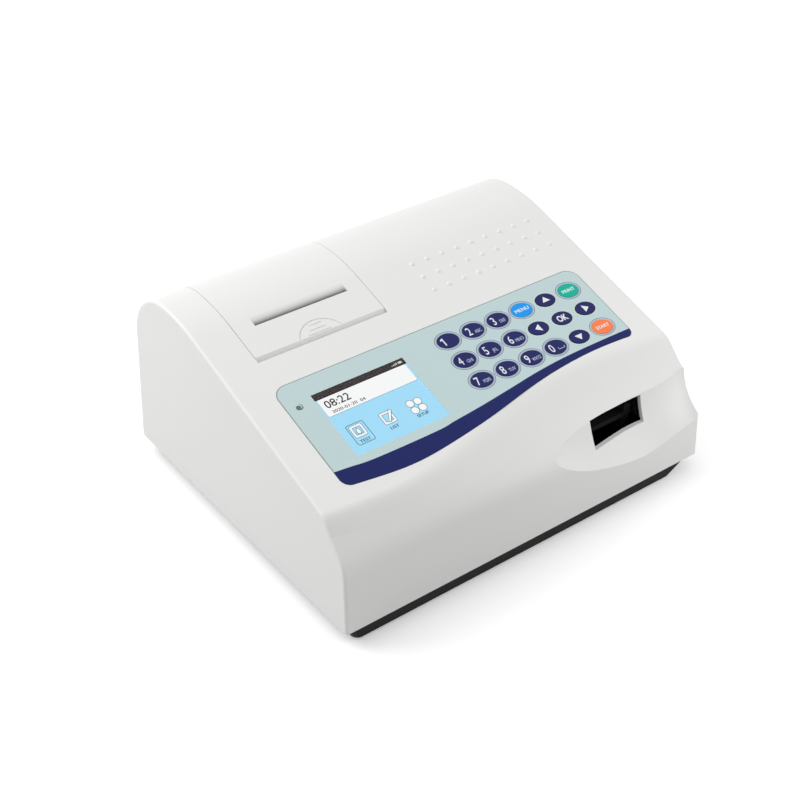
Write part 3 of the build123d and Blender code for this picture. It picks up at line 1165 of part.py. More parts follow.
with BuildPart() as serial_port:
    with BuildSketch(rear_plane(SERIAL_X, PORT_Z, REST)):
        RectangleRounded(*SERIAL_FLANGE[:2], 1)
    extrude(amount=SERIAL_FLANGE[2])
    with BuildSketch(rear_plane(SERIAL_X, PORT_Z, -SERIAL_BACK)):
        Rectangle(*SERIAL_BODY)
    extrude(amount=SERIAL_BACK + SERIAL_FLANGE[2])
    with BuildSketch(rear_plane(SERIAL_X, PORT_Z, SERIAL_FLANGE[2] / 2)):
        Trapezoid(*SERIAL_SHELL, 80, rotation=180)
    extrude(amount=SERIAL_PROUD - SERIAL_FLANGE[2] / 2)
    with BuildSketch(rear_plane(SERIAL_X, PORT_Z, SERIAL_FLOOR)):
        Trapezoid(SERIAL_SHELL[0] - 2 * PORT_SKIN, SERIAL_SHELL[1] - 2 * PORT_SKIN, 80, rotation=180)
    extrude(amount=8, mode=Mode.SUBTRACT)
    with BuildSketch(rear_plane(SERIAL_X, PORT_Z, SERIAL_FLOOR - PORT_SKIN)):
        with Locations(*PIN_SPOTS):
            Circle(PIN_R)
    extrude(amount=PIN_END - SERIAL_FLOOR + PORT_SKIN)
save(serial_port.part, "serial_port")

with BuildPart() as usb_port:
    with BuildSketch(rear_plane(USB_X, PORT_Z, -USB_BACK)):
        Rectangle(*USB_BODY)
    extrude(amount=USB_BACK + USB_PROUD)
    with BuildSketch(rear_plane(USB_X, PORT_Z, USB_FLOOR)):
        Rectangle(USB_BODY[0] - 2 * PORT_SKIN, USB_BODY[1] - 2 * PORT_SKIN)
    extrude(amount=12, mode=Mode.SUBTRACT)
    with BuildSketch(rear_plane(USB_X, PORT_Z, USB_FLOOR - PORT_SKIN)):
        with Locations((0, USB_TONGUE[2])):
            Rectangle(USB_BODY[0] - USB_TONGUE[0], USB_TONGUE[1])
    extrude(amount=-USB_FLOOR)
save(usb_port.part, "usb_port")
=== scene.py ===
"""A bench urine analyzer and its studio: mouldings, printed panel, keys, screen and the parts inside."""

import math

import bmesh
import bpy
import numpy as np
from mathutils import Matrix, Vector


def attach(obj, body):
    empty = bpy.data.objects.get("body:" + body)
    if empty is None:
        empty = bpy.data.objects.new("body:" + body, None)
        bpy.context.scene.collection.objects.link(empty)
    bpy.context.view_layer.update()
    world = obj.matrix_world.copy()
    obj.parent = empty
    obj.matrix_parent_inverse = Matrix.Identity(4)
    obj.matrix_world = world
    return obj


bl_info = {
    "name": "Urine analyzer",
    "version": (1, 0, 0),
    "blender": (4, 5, 0),
    "location": "View3D > Sidebar > Analyzer",
    "description": "Builds the visible pieces of a bench urine analyzer round its packed model",
    "category": "Object",
}

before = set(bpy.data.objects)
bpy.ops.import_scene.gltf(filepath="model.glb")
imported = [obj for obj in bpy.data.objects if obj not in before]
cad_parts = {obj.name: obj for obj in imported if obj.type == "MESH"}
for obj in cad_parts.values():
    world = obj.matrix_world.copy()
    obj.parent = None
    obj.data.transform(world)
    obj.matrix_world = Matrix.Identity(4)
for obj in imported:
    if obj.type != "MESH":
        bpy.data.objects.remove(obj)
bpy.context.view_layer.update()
MM = 0.001

# The control panel's plane: where u = 0 and v = 0 lies, and its slope. Panel sizes below are in millimetres.
PANEL_CORNER = np.array([-0.1455, -0.07947, 0.093907])
PANEL_TILT = math.radians(18.157)
PANEL_U = np.array([1.0, 0.0, 0.0])
PANEL_V = np.array([0.0, math.cos(PANEL_TILT), math.sin(PANEL_TILT)])
PANEL_N = np.array([0.0, -math.sin(PANEL_TILT), math.cos(PANEL_TILT)])

# The keypad film: its face over the panel, its sides, its top and its corner radius, and the heights of what
# is printed on it.
OVERLAY_FACE = 0.10
FILM_SIDES = (25.3, 267.9)
FILM_TOP = 66.0
FILM_CORNER = 9.0
PRINT_TOP = OVERLAY_FACE + 0.02
PRINT_FOOT = OVERLAY_FACE - 0.05
BAND_FOOT = OVERLAY_FACE - 0.30
BAND_SIDES = (25.27, 267.93)
# The navy band's upper edge from left to right, where the rim's two ends meet it, and a line between the
# film's lower edge and the keys.
WAVE = [(BAND_SIDES[0], -3.2), (36, -4.3), (50, -5.9), (75, -6.5), (102, -6.5), (113, -5.4), (137, -3.3),
        (162, -0.5), (187, 2.4), (213, 4.0), (244, 4.2), (BAND_SIDES[1], 3.95)]
RIM_ENDS = (-3.0, 4.1)
BELOW_KEYS = ((25, 100, 200, 268), (-3.5, -8.0, 2.0, 4.2))
# Half axes of the ellipses printed round the small and the large keys, from the cap outwards.
SMALL_RINGS = ((7.6, 5.5), (8.05, 5.85), (8.5, 6.25))
LARGE_RINGS = ((8.5, 6.25), (9.6, 7.25), (9.9, 7.55))
LAMP_CENTRE = (34.0, 47.3)
LAMP_MARK_R = 2.3

# The keys: the cap's face, the middle of the first one, the step to the next, and column, row and marks.
KEY_FACE = 0.50
KEY_ORIGIN = (149.02, 49.98)
KEY_PITCH = (20.588, 18.256)
KEYS = {
    "key_1": (0, 0, "1", ""), "key_2": (1, 0, "2", "ABC"), "key_3": (2, 0, "3", "DEF"),
    "key_4": (0, 1, "4", "GHI"), "key_5": (1, 1, "5", "JKL"), "key_6": (2, 1, "6", "MNO"),
    "key_7": (0, 2, "7", "PQRS"), "key_8": (1, 2, "8", "TUV"), "key_9": (2, 2, "9", "WXYZ"),
    "key_0": (3, 2, "0", "_"), "key_menu": (3, 0, "MENU", ""), "key_print": (5, 0, "PRINT", ""),
    "key_start": (5, 2, "START", ""), "key_ok": (4, 1, "OK", ""), "key_up": (4, 0, "^", ""),
    "key_down": (4, 2, "v", ""), "key_left": (3, 1, "<", ""), "key_right": (5, 1, ">", ""),
}
# The keys without a wide ring, the arrow that points up, and the other arrows' turns in half circles.
SMALL_KEYS = ("key_ok", "key_up", "key_down", "key_left", "key_right")
ARROW = np.array([(0.0, 2.9), (-3.1, -1.6), (3.1, -1.6)])
ARROW_TURNS = {"^": 0.0, "v": 1.0, "<": 0.5, ">": -0.5}
# Outline of the digit one round its middle: a stem with a slanting flag.
ONE = np.array([(0.05, 3.15), (0.75, 3.15), (0.75, -3.15), (-0.2, -3.15), (-0.2, 1.75), (-1.55, 1.05),
                (-1.55, 2.05)])
# Where the digit and the small letters stand from the key's middle, and the heights of the writing.
DIGIT_PLACE = (-3.6, 0.0)
DIGIT_SIZE = 6.3
LETTERS_PLACE = (2.7, -1.85)
SMALL_SIZE = 2.6
OK_SIZE = 4.7
SPACE_MARK = [((0.6, -2.9), (6.0, -2.4)), ((0.6, -2.9), (1.1, -1.2)), ((5.5, -2.9), (6.0, -1.2))]
WORD_WIDTH = {"MENU": 1.12, "PRINT": 1.04, "START": 0.98}

# The screen's picture: the height of its lowest layer's foot and the step from layer to layer.
PICTURE_FOOT = -0.735
LAYER = 0.008

# The power rocker: the wall's point behind its pivot, the wall's lean, and the rocker's two slanting halves.
ROCKER_FOOT = (-0.0495, 0.121818, 0.0415)
REAR_LEAN = math.radians(4.16)
ROCKER_DIP = 1.5
ROCKER_SLOPE = 1 / 6.98
# The paper roll's axis and the phase of its windings for each metre outwards, the paper slot's ends, its
# edges, its throat and mouth, which bound the painted shade down the slot on the cover, and the face of the
# boards, in metres.
ROLL_AXIS = (0.0, 0.066, 0.1015)
WINDINGS = 12000.0
SLOT_X = (-0.1011, -0.0303)
SLOT_Y = (0.0301, 0.0376)
SLOT_Z = (0.1260, 0.1316)
BOARD_FACE = 0.0212

# The camera: its turn to the left, its height and its roll in degrees, and its place; and the lamps' aim.
CAMERA_ANGLES = (36.052, 35.080, -0.835)
CAMERA_PLACE = (-0.469583, -0.628819, 0.598279)
LAMP_AIM = (0.0, 0.0, 0.06)


def srgb(red, green, blue):
    """Linear colour of three 0 to 255 display values: c/12.92 below 0.04045, else ((c+0.055)/1.055)^2.4."""
    value = np.array([red, green, blue], float) / 255
    linear = np.where(value <= 0.04045, value / 12.92, ((value + 0.055) / 1.055) ** 2.4)
    return tuple(float(c) for c in linear) + (1.0,)


# Finishes of the pieces inside and at the back: name, colour, roughness and the nodes that have it.
PLASTICS = (
    ("tray plastic", srgb(206, 208, 210), 0.4, ("strip_tray",)),
    ("holder plastic", srgb(232, 232, 228), 0.35, ("strip_holder",)),
    ("reference tile", srgb(246, 246, 244), 0.6, ("reference_pad",)),
    ("guide plastic", srgb(16, 16, 17), 0.7, ("tray_guide",)),
    ("reader plastic", srgb(16, 16, 17), 0.7, ("optical_head",)),
    ("gear plastic", srgb(232, 230, 220), 0.35, ("drive_pinion", "platen_gear")),
    ("cradle plastic", srgb(58, 58, 62), 0.5, ("paper_cradle", "paper_spindle")),
    ("mat rubber", srgb(150, 152, 156), 0.7, ("keypad_circuit",)),
    ("socket plastic", srgb(24, 24, 26), 0.4, ("ac_inlet", "switch_body")),
    ("rocker plastic", srgb(30, 30, 32), 0.3, ("power_switch",)),
    ("platen rubber", srgb(36, 36, 38), 0.65, ("platen_roller",)),
)
METALS = (
    ("port steel", srgb(190, 190, 194), 0.3, ("serial_port", "usb_port")),
    ("motor can", srgb(170, 170, 174), 0.35, ("tray_motor", "printer_motor")),
    ("frame steel", srgb(186, 188, 192), 0.35, ("printer_frame",)),
    ("head aluminium", srgb(210, 212, 216), 0.4, ("print_head",)),
    ("pinion brass", srgb(214, 176, 96), 0.3, ("printer_pinion",)),
    ("pin steel", srgb(196, 196, 200), 0.25,
     ("cover_hinge_pins", "base_screws", "board_screws", "cradle_screws", "cradle_standoffs")),
)


# ---------------------------------------------------------------- sizes and colours
def colour_prop(name, text, value):
    """A colour that a user can change."""
    return bpy.props.FloatVectorProperty(name=name, description=text, subtype="COLOR", size=4,
                                         min=0.0, max=1.0, default=value)


def number_prop(name, text, value, most=1.0, **kind):
    """A number that a user can change, from nought to its most."""
    return bpy.props.FloatProperty(name=name, description=text, min=0.0, max=most, default=value, **kind)


class AnalyzerFinish(bpy.types.PropertyGroup):
    """Colours and roughness of the mouldings and the print."""

    housing: colour_prop("Housing", "White of the moulded shell and the printer cover", srgb(236, 236, 235))
    base: colour_prop("Base", "Dark plastic of the pan under the shell", srgb(20, 21, 20))
    sheet: colour_prop("Keypad sheet", "Pale tint of the printed sheet", srgb(197, 217, 218))
    navy: colour_prop("Navy", "Band of the sheet and the number keys", srgb(16, 27, 94))
    ring: colour_prop("Ring", "Silver ring printed round the number keys", srgb(184, 195, 210))
    ring_line: colour_prop("Ring line", "Thin outer line of the rings", srgb(64, 76, 112))
    cream: colour_prop("Cream", "Thin outline of the arrow keys", srgb(226, 232, 214))
    menu: colour_prop("Menu key", "Cap of the menu key", srgb(0, 157, 245))
    printing: colour_prop("Print key", "Cap of the print key", srgb(0, 180, 156))
    start: colour_prop("Start key", "Cap of the start key", srgb(255, 132, 76))
    legend: colour_prop("Legend", "Print on the keys", srgb(236, 239, 243))
    # a grey strip round the sheet: partly its dark cut edge, partly painted shade of the gap round it
    rim: colour_prop("Sheet rim", "Thin cut edge round the keypad sheet, with painted shade of its gap", srgb(150, 157, 157))
    roughness: number_prop("Roughness", "Roughness of the white mouldings", 0.42)


class AnalyzerScreen(bpy.types.PropertyGroup):
    """What the screen shows."""

    clock: bpy.props.StringProperty(name="Clock", description="Digits of the clock", default="08:22")
    date: bpy.props.StringProperty(name="Date", description="Digits of the date", default="2020-01-20  04")
    sky: colour_prop("Background", "Blue field of the screen", srgb(166, 225, 253))
    white: colour_prop("Panel", "White field of the screen", srgb(252, 252, 252))
    bar: colour_prop("Bar", "Dark bar at the top of the screen", srgb(58, 50, 50))
    ink: colour_prop("Ink", "Dark strokes on the screen", srgb(28, 30, 34))
    outline: colour_prop("Outline", "Outlines of the icons", srgb(70, 108, 132))
    glow: number_prop("Glow", "Brightness of the lit screen", 0.96, 2.0)


class AnalyzerStage(bpy.types.PropertyGroup):
    """Floor, lamps and camera."""

    floor: number_prop("Floor", "Grey of the floor as the eye sees it", 0.99)
    bounce: number_prop("Bounce", "Grey of the floor as the light sees it", 0.42)
    sky: number_prop("Room light", "Strength of the room's even light", 0.65, 5.0)
    key_lamp: number_prop("Key lamp", "Power of the lamp above and behind on the left", 12.9, 1000.0,
                          subtype="POWER", unit="POWER")
    fill_lamp: number_prop("Fill lamp", "Power of the lamp in front on the right", 0.55, 1000.0,
                           subtype="POWER", unit="POWER")
    lift: number_prop("Floor lift", "Light that the floor adds for the eye alone", 0.25)
    lens: number_prop("Lens", "Focal length of the camera in millimetres", 63.556, 200.0)


# ---------------------------------------------------------------- shader node groups
# What a finish's group puts out, and the shader's socket that takes it.
RESULTS = {"Colour": "Base Color", "Roughness": "Roughness", "Normal": "Normal"}
PALE = (0.8, 0.8, 0.8, 1.0)


def add_node(tree, kind, inputs, operation=None):
    """A shader node with its operation; each input takes a constant, or a link from another node's output."""
    node = tree.nodes.new("ShaderNode" + kind)
    if operation:
        node.operation = operation
    for socket, value in inputs.items():
        if isinstance(value, bpy.types.NodeSocket):
            tree.links.new(value, node.inputs[socket])
        else:
            node.inputs[socket].default_value = value
    return node


def maths(tree, operation, *values):
    """Output of a Math node on numbers or on the outputs of other nodes."""
    return add_node(tree, "Math", dict(enumerate(values)), operation).outputs[0]


def scaled(tree, colour, share):
    """Output of a colour times a share."""
    return add_node(tree, "VectorMath", {0: colour, "Scale": share}, "SCALE").outputs[0]


def noise(tree, place, **inputs):
    """Output of a noise over a place; the inputs are its scale and its detail."""
    return add_node(tree, "TexNoise", {"Vector": place, **inputs}).outputs["Fac"]


def object_place(tree):
    """Output with the Object coordinates."""
    return add_node(tree, "TexCoord", {}).outputs["Object"]


def dented(tree, height, strength, distance):
    """Output with the normal of a surface that a height lifts."""
    bump = add_node(tree, "Bump", {"Height": height, "Strength": strength, "Distance": distance})
    return bump.outputs["Normal"]


def new_group(name, inputs, outputs=tuple(RESULTS)):
    """A shader node group with its sockets. Inputs hold a default: a number, a colour or a vector."""
    kinds = {1: "NodeSocketFloat", 3: "NodeSocketVector", 4: "NodeSocketColor"}
    group = bpy.data.node_groups.new(name, "ShaderNodeTree")
    for label, value in inputs.items():
        kind = kinds[np.size(value)]
        group.interface.new_socket(label, in_out="INPUT", socket_type=kind).default_value = value
    for label in outputs:
        kind = {"Colour": kinds[4], "Roughness": kinds[1], "Normal": kinds[3]}[label]
        group.interface.new_socket(label, in_out="OUTPUT", socket_type=kind)
    return group, group.nodes.new("NodeGroupInput").outputs, group.nodes.new("NodeGroupOutput")


def put_out(group, out, values):
    """Links the group's results to its output sockets."""
    for label, value in values.items():
        group.links.new(value, out.inputs[label])
    return group


def moulded_group():
    """Moulded plastic: a slow noise drifts the colour round its value, and a fine one spreads the roughness
    by 0.04 to each side and lifts the surface as a spark texture."""
    group, given, out = new_group("moulded plastic", {"Colour": PALE, "Drift": 0.03, "Roughness": 0.45,
                                                      "Grain": 0.25, "Grain size": 0.0006})
    place = object_place(group)
    slow = noise(group, place, Scale=14.0, Detail=3.0)
    base = maths(group, "MULTIPLY_ADD", given["Drift"], -0.5, 1.0)
    swing = maths(group, "MULTIPLY_ADD", slow, given["Drift"], base)
    fine = noise(group, place, Scale=maths(group, "DIVIDE", 1.0, given["Grain size"]), Detail=2.0)
    rough = maths(group, "MULTIPLY_ADD", fine, 0.08, maths(group, "SUBTRACT", given["Roughness"], 0.04))
    return put_out(group, out, {"Colour": scaled(group, given["Colour"], swing), "Roughness": rough,
                                "Normal": dented(group, fine, given["Grain"], 0.00006)})


def brushed_group():
    """Drawn or brushed metal: a noise, squeezed along two axes by the direction's factors, streaks the
    colour, the roughness and the surface along the third."""
    group, given, out = new_group("brushed metal", {"Colour": PALE, "Roughness": 0.35,
                                                    "Direction": (1.0, 40.0, 40.0)})
    squeezed = add_node(group, "VectorMath", {0: object_place(group), 1: given["Direction"]}, "MULTIPLY")
    streak = noise(group, squeezed.outputs[0], Scale=90.0, Detail=4.0)
    swing = add_node(group, "MapRange", {"Value": streak, "To Min": 0.86, "To Max": 1.08}).outputs[0]
    rough = maths(group, "MULTIPLY_ADD", streak, 0.15, given["Roughness"])
    return put_out(group, out, {"Colour": scaled(group, given["Colour"], swing), "Roughness": rough,
                                "Normal": dented(group, streak, 0.2, 0.00003)})


def print_group():
    """Screen print on film: a raster of fine cells plus a slow cloud, times the weave, tints the ink. The
    cloud spreads the roughness, and the cells dent the face."""
    group, given, out = new_group("screen print", {"Colour": PALE, "Roughness": 0.4, "Weave": 0.03})
    place = object_place(group)
    cells = add_node(group, "TexVoronoi", {"Vector": place, "Scale": 2600.0}).outputs["Distance"]
    cloud = noise(group, place, Scale=60.0)
    both = maths(group, "ADD", cells, cloud)
    swing = maths(group, "MULTIPLY_ADD", both, given["Weave"], maths(group, "SUBTRACT", 1.0, given["Weave"]))
    rough = maths(group, "MULTIPLY_ADD", cloud, 0.1, given["Roughness"])
    return put_out(group, out, {"Colour": scaled(group, given["Colour"], swing), "Roughness": rough,
                                "Normal": dented(group, cells, 0.15, 0.00002)})


def painted_slot_shade_group():
    """Painted shade down the paper slot: where x and y are between its edges, one minus a share of how far a
    point lies below the slot's mouth scales the colour, so the throat is painted darker as if in shade."""
    group, given, out = new_group("painted slot shade", {"Colour": PALE, "Share": 0.88}, ("Colour",))
    apart = add_node(group, "SeparateXYZ", {0: object_place(group)})
    beside, along = (maths(group, "COMPARE", apart.outputs[axis], (first + last) / 2, (last - first) / 2)
                     for axis, (first, last) in (("X", SLOT_X), ("Y", SLOT_Y)))
    deep = add_node(group, "MapRange", {"Value": apart.outputs["Z"], "From Min": SLOT_Z[1],
                                        "From Max": SLOT_Z[0]})
    deep.interpolation_type = "SMOOTHSTEP"
    mask = maths(group, "MULTIPLY", maths(group, "MULTIPLY", beside, along), deep.outputs[0])
    # the painted shade: the colour is darkened by the share, more the deeper the point lies in the slot
    left = maths(group, "SUBTRACT", 1.0, maths(group, "MULTIPLY", mask, given["Share"]))
    return put_out(group, out, {"Colour": scaled(group, given["Colour"], left)})


GROUPS = {}
SCALES = {}
FINISHES = {}


def group_named(name):
    """The shared group of that name, built the first time it is asked for."""
    makers = {"moulded plastic": moulded_group, "brushed metal": brushed_group, "screen print": print_group,
              "painted slot shade": painted_slot_shade_group}
    if name not in GROUPS:
        GROUPS[name] = makers[name]()
    return GROUPS[name]


def new_material(name):
    """A material with its node tree and its shader."""
    material = bpy.data.materials.new(name)
    material.use_nodes = True
    return material, material.node_tree, material.node_tree.nodes["Principled BSDF"]


def set_inputs(node, values):
    """Writes constants to a node's own sockets."""
    for socket, value in values.items():
        node.inputs[socket].default_value = value


def finish(name, group, values, shader=None):
    """A material whose colour, roughness and normal come from a shared group with its own values."""
    if name not in FINISHES:
        FINISHES[name], tree, surface = new_material(name)
        pattern = tree.nodes.new("ShaderNodeGroup")
        pattern.node_tree = group_named(group)
        set_inputs(pattern, values)
        for label, socket in RESULTS.items():
            tree.links.new(pattern.outputs[label], surface.inputs[socket])
        set_inputs(surface, shader or {})
    return FINISHES[name]


def moulding(name, colour, roughness, drift, grain, grain_size, shader=None):
    """A moulded plastic or rubber."""
    return finish(name, "moulded plastic", {"Colour": colour, "Drift": drift, "Roughness": roughness,
                                            "Grain": grain, "Grain size": grain_size}, shader)


def brushed(name, colour, roughness, direction, metal):
    """A drawn or brushed metal whose streaks run along the direction's smallest factor."""
    return finish(name, "brushed metal", {"Colour": colour, "Roughness": roughness, "Direction": direction},
                  {"Metallic": metal})


def print_ink(name, colour, roughness=0.38, weave=0.02, shader=None):
    """A printed colour, or a coated sheet."""
    return finish(name, "screen print", {"Colour": colour, "Roughness": roughness, "Weave": weave}, shader)


def lit(name, colour, glow):
    """A lit field of the screen: its own light at the colour's value, crossed by fine pixel rows."""
    if name not in FINISHES:
        FINISHES[name], tree, surface = new_material(name)
        rows = add_node(tree, "TexWave", {"Vector": object_place(tree), "Scale": 2200.0}).outputs["Fac"]
        dim = add_node(tree, "MapRange", {"Value": rows, "To Min": 0.97, "To Max": 1.0}).outputs[0]
        tree.links.new(scaled(tree, colour[:3], dim), surface.inputs["Emission Color"])
        set_inputs(surface, {"Emission Strength": glow, "Base Color": (0.004, 0.004, 0.004, 1.0),
                             "Roughness": 0.5, "Specular IOR Level": 0.1})
    return FINISHES[name]


def clear(name, tint, roughness, bending=1.45):
    """A clear pane: plain glass with faint smears in its roughness."""
    if name not in FINISHES:
        FINISHES[name], tree, surface = new_material(name)
        smear = noise(tree, object_place(tree), Scale=35.0)
        rough = add_node(tree, "MapRange", {"Value": smear, "To Min": roughness, "To Max": roughness + 0.05})
        tree.links.new(rough.outputs[0], surface.inputs["Roughness"])
        set_inputs(surface, {"Base Color": tint, "Transmission Weight": 1.0, "IOR": bending})
    return FINISHES[name]


def wound_paper():
    """Thermal paper on its roll: the distance from the roll's axis, through a sine, draws the windings."""
    material = print_ink("thermal paper", srgb(246, 246, 243), 0.62, 0.03)
    tree = material.node_tree
    colour = tree.nodes["Principled BSDF"].inputs["Base Color"]
    centred = add_node(tree, "VectorMath", {0: object_place(tree), 1: ROLL_AXIS}, "SUBTRACT").outputs[0]
    flat = add_node(tree, "VectorMath", {0: centred, 1: (0.0, 1.0, 1.0)}, "MULTIPLY").outputs[0]
    away = add_node(tree, "VectorMath", {0: flat}, "LENGTH").outputs["Value"]
    wave = maths(tree, "SINE", maths(tree, "MULTIPLY", away, WINDINGS))
    layers = add_node(tree, "MapRange", {"Value": wave, "From Min": -1.0, "To Min": 0.86, "To Max": 1.0})
    tree.links.new(scaled(tree, colour.links[0].from_socket, layers.outputs[0]), colour)
    return material


def laminate():
    """Circuit board: green mask with paler tracks from a brick pattern below the board's face, dark
    moulded chips above it."""
    if "board laminate" in FINISHES:
        return FINISHES["board laminate"]
    material = print_ink("board laminate", srgb(24, 88, 50), 0.32, 0.2)
    tree = material.node_tree
    place = object_place(tree)
    tracks = add_node(tree, "TexBrick", {"Vector": place, "Scale": 160.0, "Mortar Size": 0.035,
                                         "Color1": srgb(24, 88, 50), "Color2": srgb(30, 98, 56),
                                         "Mortar": srgb(112, 160, 92)})
    height = add_node(tree, "SeparateXYZ", {0: place}).outputs["Z"]
    choice = tree.nodes.new("ShaderNodeMix")
    choice.data_type = "RGBA"
    choice.inputs["B"].default_value = srgb(34, 35, 38)
    tree.links.new(maths(tree, "GREATER_THAN", height, BOARD_FACE), choice.inputs["Factor"])
    tree.links.new(tracks.outputs["Color"], choice.inputs["A"])
    tree.links.new(choice.outputs["Result"], tree.nodes["Principled BSDF"].inputs["Base Color"])
    return material


def dress(node, material):
    """Gives a carried-over node its finish."""
    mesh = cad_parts[node].data
    mesh.materials.clear()
    mesh.materials.append(material)


# ---------------------------------------------------------------- surfaces
def panel_points(u, v, height):
    """Points of the row frame for panel coordinates in millimetres: corner + u U + v V + height N."""
    u, v, height = np.broadcast_arrays(u, v, height)
    return PANEL_CORNER[None, :] + MM * (u.reshape(-1, 1) * PANEL_U + v.reshape(-1, 1) * PANEL_V
                                         + height.reshape(-1, 1) * PANEL_N)


def rocker_points(u, v, height):
    """Points of the row frame on the power rocker: u to the left, v up the wall, and out of it by the
    height over the rocker's two slanting halves, 1.5 mm plus |v| times their slope, on a wall that leans."""
    u, v, height = np.broadcast_arrays(u, v, height)
    out = ROCKER_DIP + np.abs(v) * ROCKER_SLOPE + height
    cosine, sine = math.cos(REAR_LEAN), math.sin(REAR_LEAN)
    place = (ROCKER_FOOT[0] - u * MM, ROCKER_FOOT[1] + MM * (out * cosine - v * sine),
             ROCKER_FOOT[2] + MM * (v * cosine + out * sine))
    return np.stack([c.reshape(-1) for c in place], 1)


def new_piece(name, points, faces, material, body, slot):
    """Puts arrays of points and faces into a mesh that sits at the origin and rides on a body."""
    mesh = bpy.data.meshes.new(name)
    mesh.from_pydata(points.tolist(), [], faces)
    mesh.update()
    piece = bpy.data.objects.new(name, mesh)
    bpy.context.scene.collection.objects.link(piece)
    mesh.materials.append(material)
    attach(piece, body)
    return piece


def slab(outline, low, high, place=panel_points):
    """A thin flat slab: the outline (n, 2), turned to run anticlockwise, at two heights, closed by its rim.
    Points: top ring then bottom ring; faces: the top, the bottom turned over, and n rim quads."""
    outline = np.asarray(outline, float)
    count = len(outline)
    ahead = np.roll(outline, -1, axis=0)
    if np.sum(outline[:, 0] * ahead[:, 1] - ahead[:, 0] * outline[:, 1]) < 0:
        outline = outline[::-1]
    points = np.vstack([place(*outline.T, high), place(*outline.T, low)])
    ring = np.arange(count)
    after = np.roll(ring, -1)
    rim = np.stack([ring, ring + count, after + count, after], axis=1)
    faces = [ring.tolist(), (ring[::-1] + count).tolist()] + rim.tolist()
    return points, faces


def band(first, second, low, high):
    """A closed strip between two curves (n, 2) with the same count: a grid of n by 2 at two heights, with
    its four rims."""
    count = len(first)
    both = np.vstack([first, second])
    points = np.vstack([panel_points(*both.T, high), panel_points(*both.T, low)])
    i = np.arange(count - 1)
    a, b = i, i + 1
    c, d = i + count, i + 1 + count
    lower = 2 * count
    faces = np.vstack([np.stack([a, b, d, c], 1), np.stack([a + lower, c + lower, d + lower, b + lower], 1),
                       np.stack([a, a + lower, b + lower, b], 1), np.stack([c, d, d + lower, c + lower], 1)])
    ends = [[0, count, count + lower, lower],
            [count - 1, count - 1 + lower, 2 * count - 1 + lower, 2 * count - 1]]
    return points, faces.tolist() + ends


def ellipse(centre, axes, count=48):
    """Outline centre + (a cos t, b sin t), for t from 0 to 2 pi."""
    t = np.linspace(0, 2 * np.pi, count, endpoint=False)
    return np.stack([centre[0] + axes[0] * np.cos(t), centre[1] + axes[1] * np.sin(t)], 1)


def ellipse_ring(centre, outer, inner, low, high, count=72, place=panel_points):
    """A flat ring between two ellipses at two heights: four closed lines, a strip of quads from each to the
    next and from the last to the first."""
    points = np.vstack([place(*ellipse(centre, axes, count).T, height)
                        for axes, height in ((outer, high), (inner, high), (inner, low), (outer, low))])
    i = np.arange(count)
    j = np.roll(i, -1)
    faces = [np.stack([k * count + i, k * count + j, (k + 1) % 4 * count + j, (k + 1) % 4 * count + i], 1)
             for k in range(4)]
    return points, np.vstack(faces).tolist()


def rounded_box(low, high, radius, count=6):
    """Outline of a rectangle with quarter-circle corners, from its lower to its upper corner."""
    t = np.linspace(0, np.pi / 2, count)
    corners = [(high[0] - radius, high[1] - radius, 0), (low[0] + radius, high[1] - radius, 1),
               (low[0] + radius, low[1] + radius, 2), (high[0] - radius, low[1] + radius, 3)]
    turned = [(x, y, t + k * np.pi / 2) for x, y, k in corners]
    return np.vstack([np.stack([x + radius * np.cos(a), y + radius * np.sin(a)], 1) for x, y, a in turned])


def through(points, count):
    """A smooth curve through points: Catmull-Rom cubics, each segment 0.5 (2 p1 + (p2 - p0) t
    + (2 p0 - 5 p1 + 4 p2 - p3) t^2 + (3 p1 - p0 - 3 p2 + p3) t^3), then evened out by length."""
    p = np.asarray(points, float)
    p = np.vstack([2 * p[0] - p[1], p, 2 * p[-1] - p[-2]])
    t = np.linspace(0, 1, 24, endpoint=False)[None, :, None]
    p0, p1, p2, p3 = (p[k:len(p) - 3 + k][:, None, :] for k in range(4))
    dense = 0.5 * (2 * p1 + (p2 - p0) * t + (2 * p0 - 5 * p1 + 4 * p2 - p3) * t**2
                   + (3 * p1 - p0 - 3 * p2 + p3) * t**3)
    dense = np.vstack([dense.reshape(-1, 2), p[-2]])
    length = np.concatenate([[0], np.cumsum(np.linalg.norm(np.diff(dense, axis=0), axis=1))])
    even = np.linspace(0, length[-1], count)
    return np.stack([np.interp(even, length, dense[:, 0]), np.interp(even, length, dense[:, 1])], 1)


def joined(parts):
    """Several point and face lists as one."""
    points, faces, start = [], [], 0
    for part_points, part_faces in parts:
        points.append(part_points)
        faces += [[i + start for i in face] for face in part_faces]
        start += len(part_points)
    return np.vstack(points), faces


def outlines(text, weight):
    """Corners (n, 3) and faces of a word as a closed slab one unit deep: outlines filled, copied down and
    walled, with the doubled corners merged."""
    curve = bpy.data.curves.new("word", "FONT")
    curve.body = text
    curve.offset = weight
    curve.resolution_u = 4
    curve.extrude = 0.5
    near = 0.0004
    holder = bpy.data.objects.new("word", curve)
    bpy.context.scene.collection.objects.link(holder)
    bpy.context.view_layer.update()
    mesh = bpy.data.meshes.new_from_object(holder.evaluated_get(bpy.context.evaluated_depsgraph_get()))
    solid = bmesh.new()
    solid.from_mesh(mesh)
    bmesh.ops.remove_doubles(solid, verts=solid.verts, dist=near)
    bmesh.ops.dissolve_degenerate(solid, edges=solid.edges, dist=near)
    bmesh.ops.recalc_face_normals(solid, faces=solid.faces)
    solid.to_mesh(mesh)
    solid.free()
    flat = np.zeros(len(mesh.vertices) * 3)
    mesh.vertices.foreach_get("co", flat)
    faces = [list(face.vertices) for face in mesh.polygons]
    bpy.data.objects.remove(holder)
    bpy.data.meshes.remove(mesh)
    bpy.data.curves.remove(curve)
    return flat.reshape(-1, 3), faces


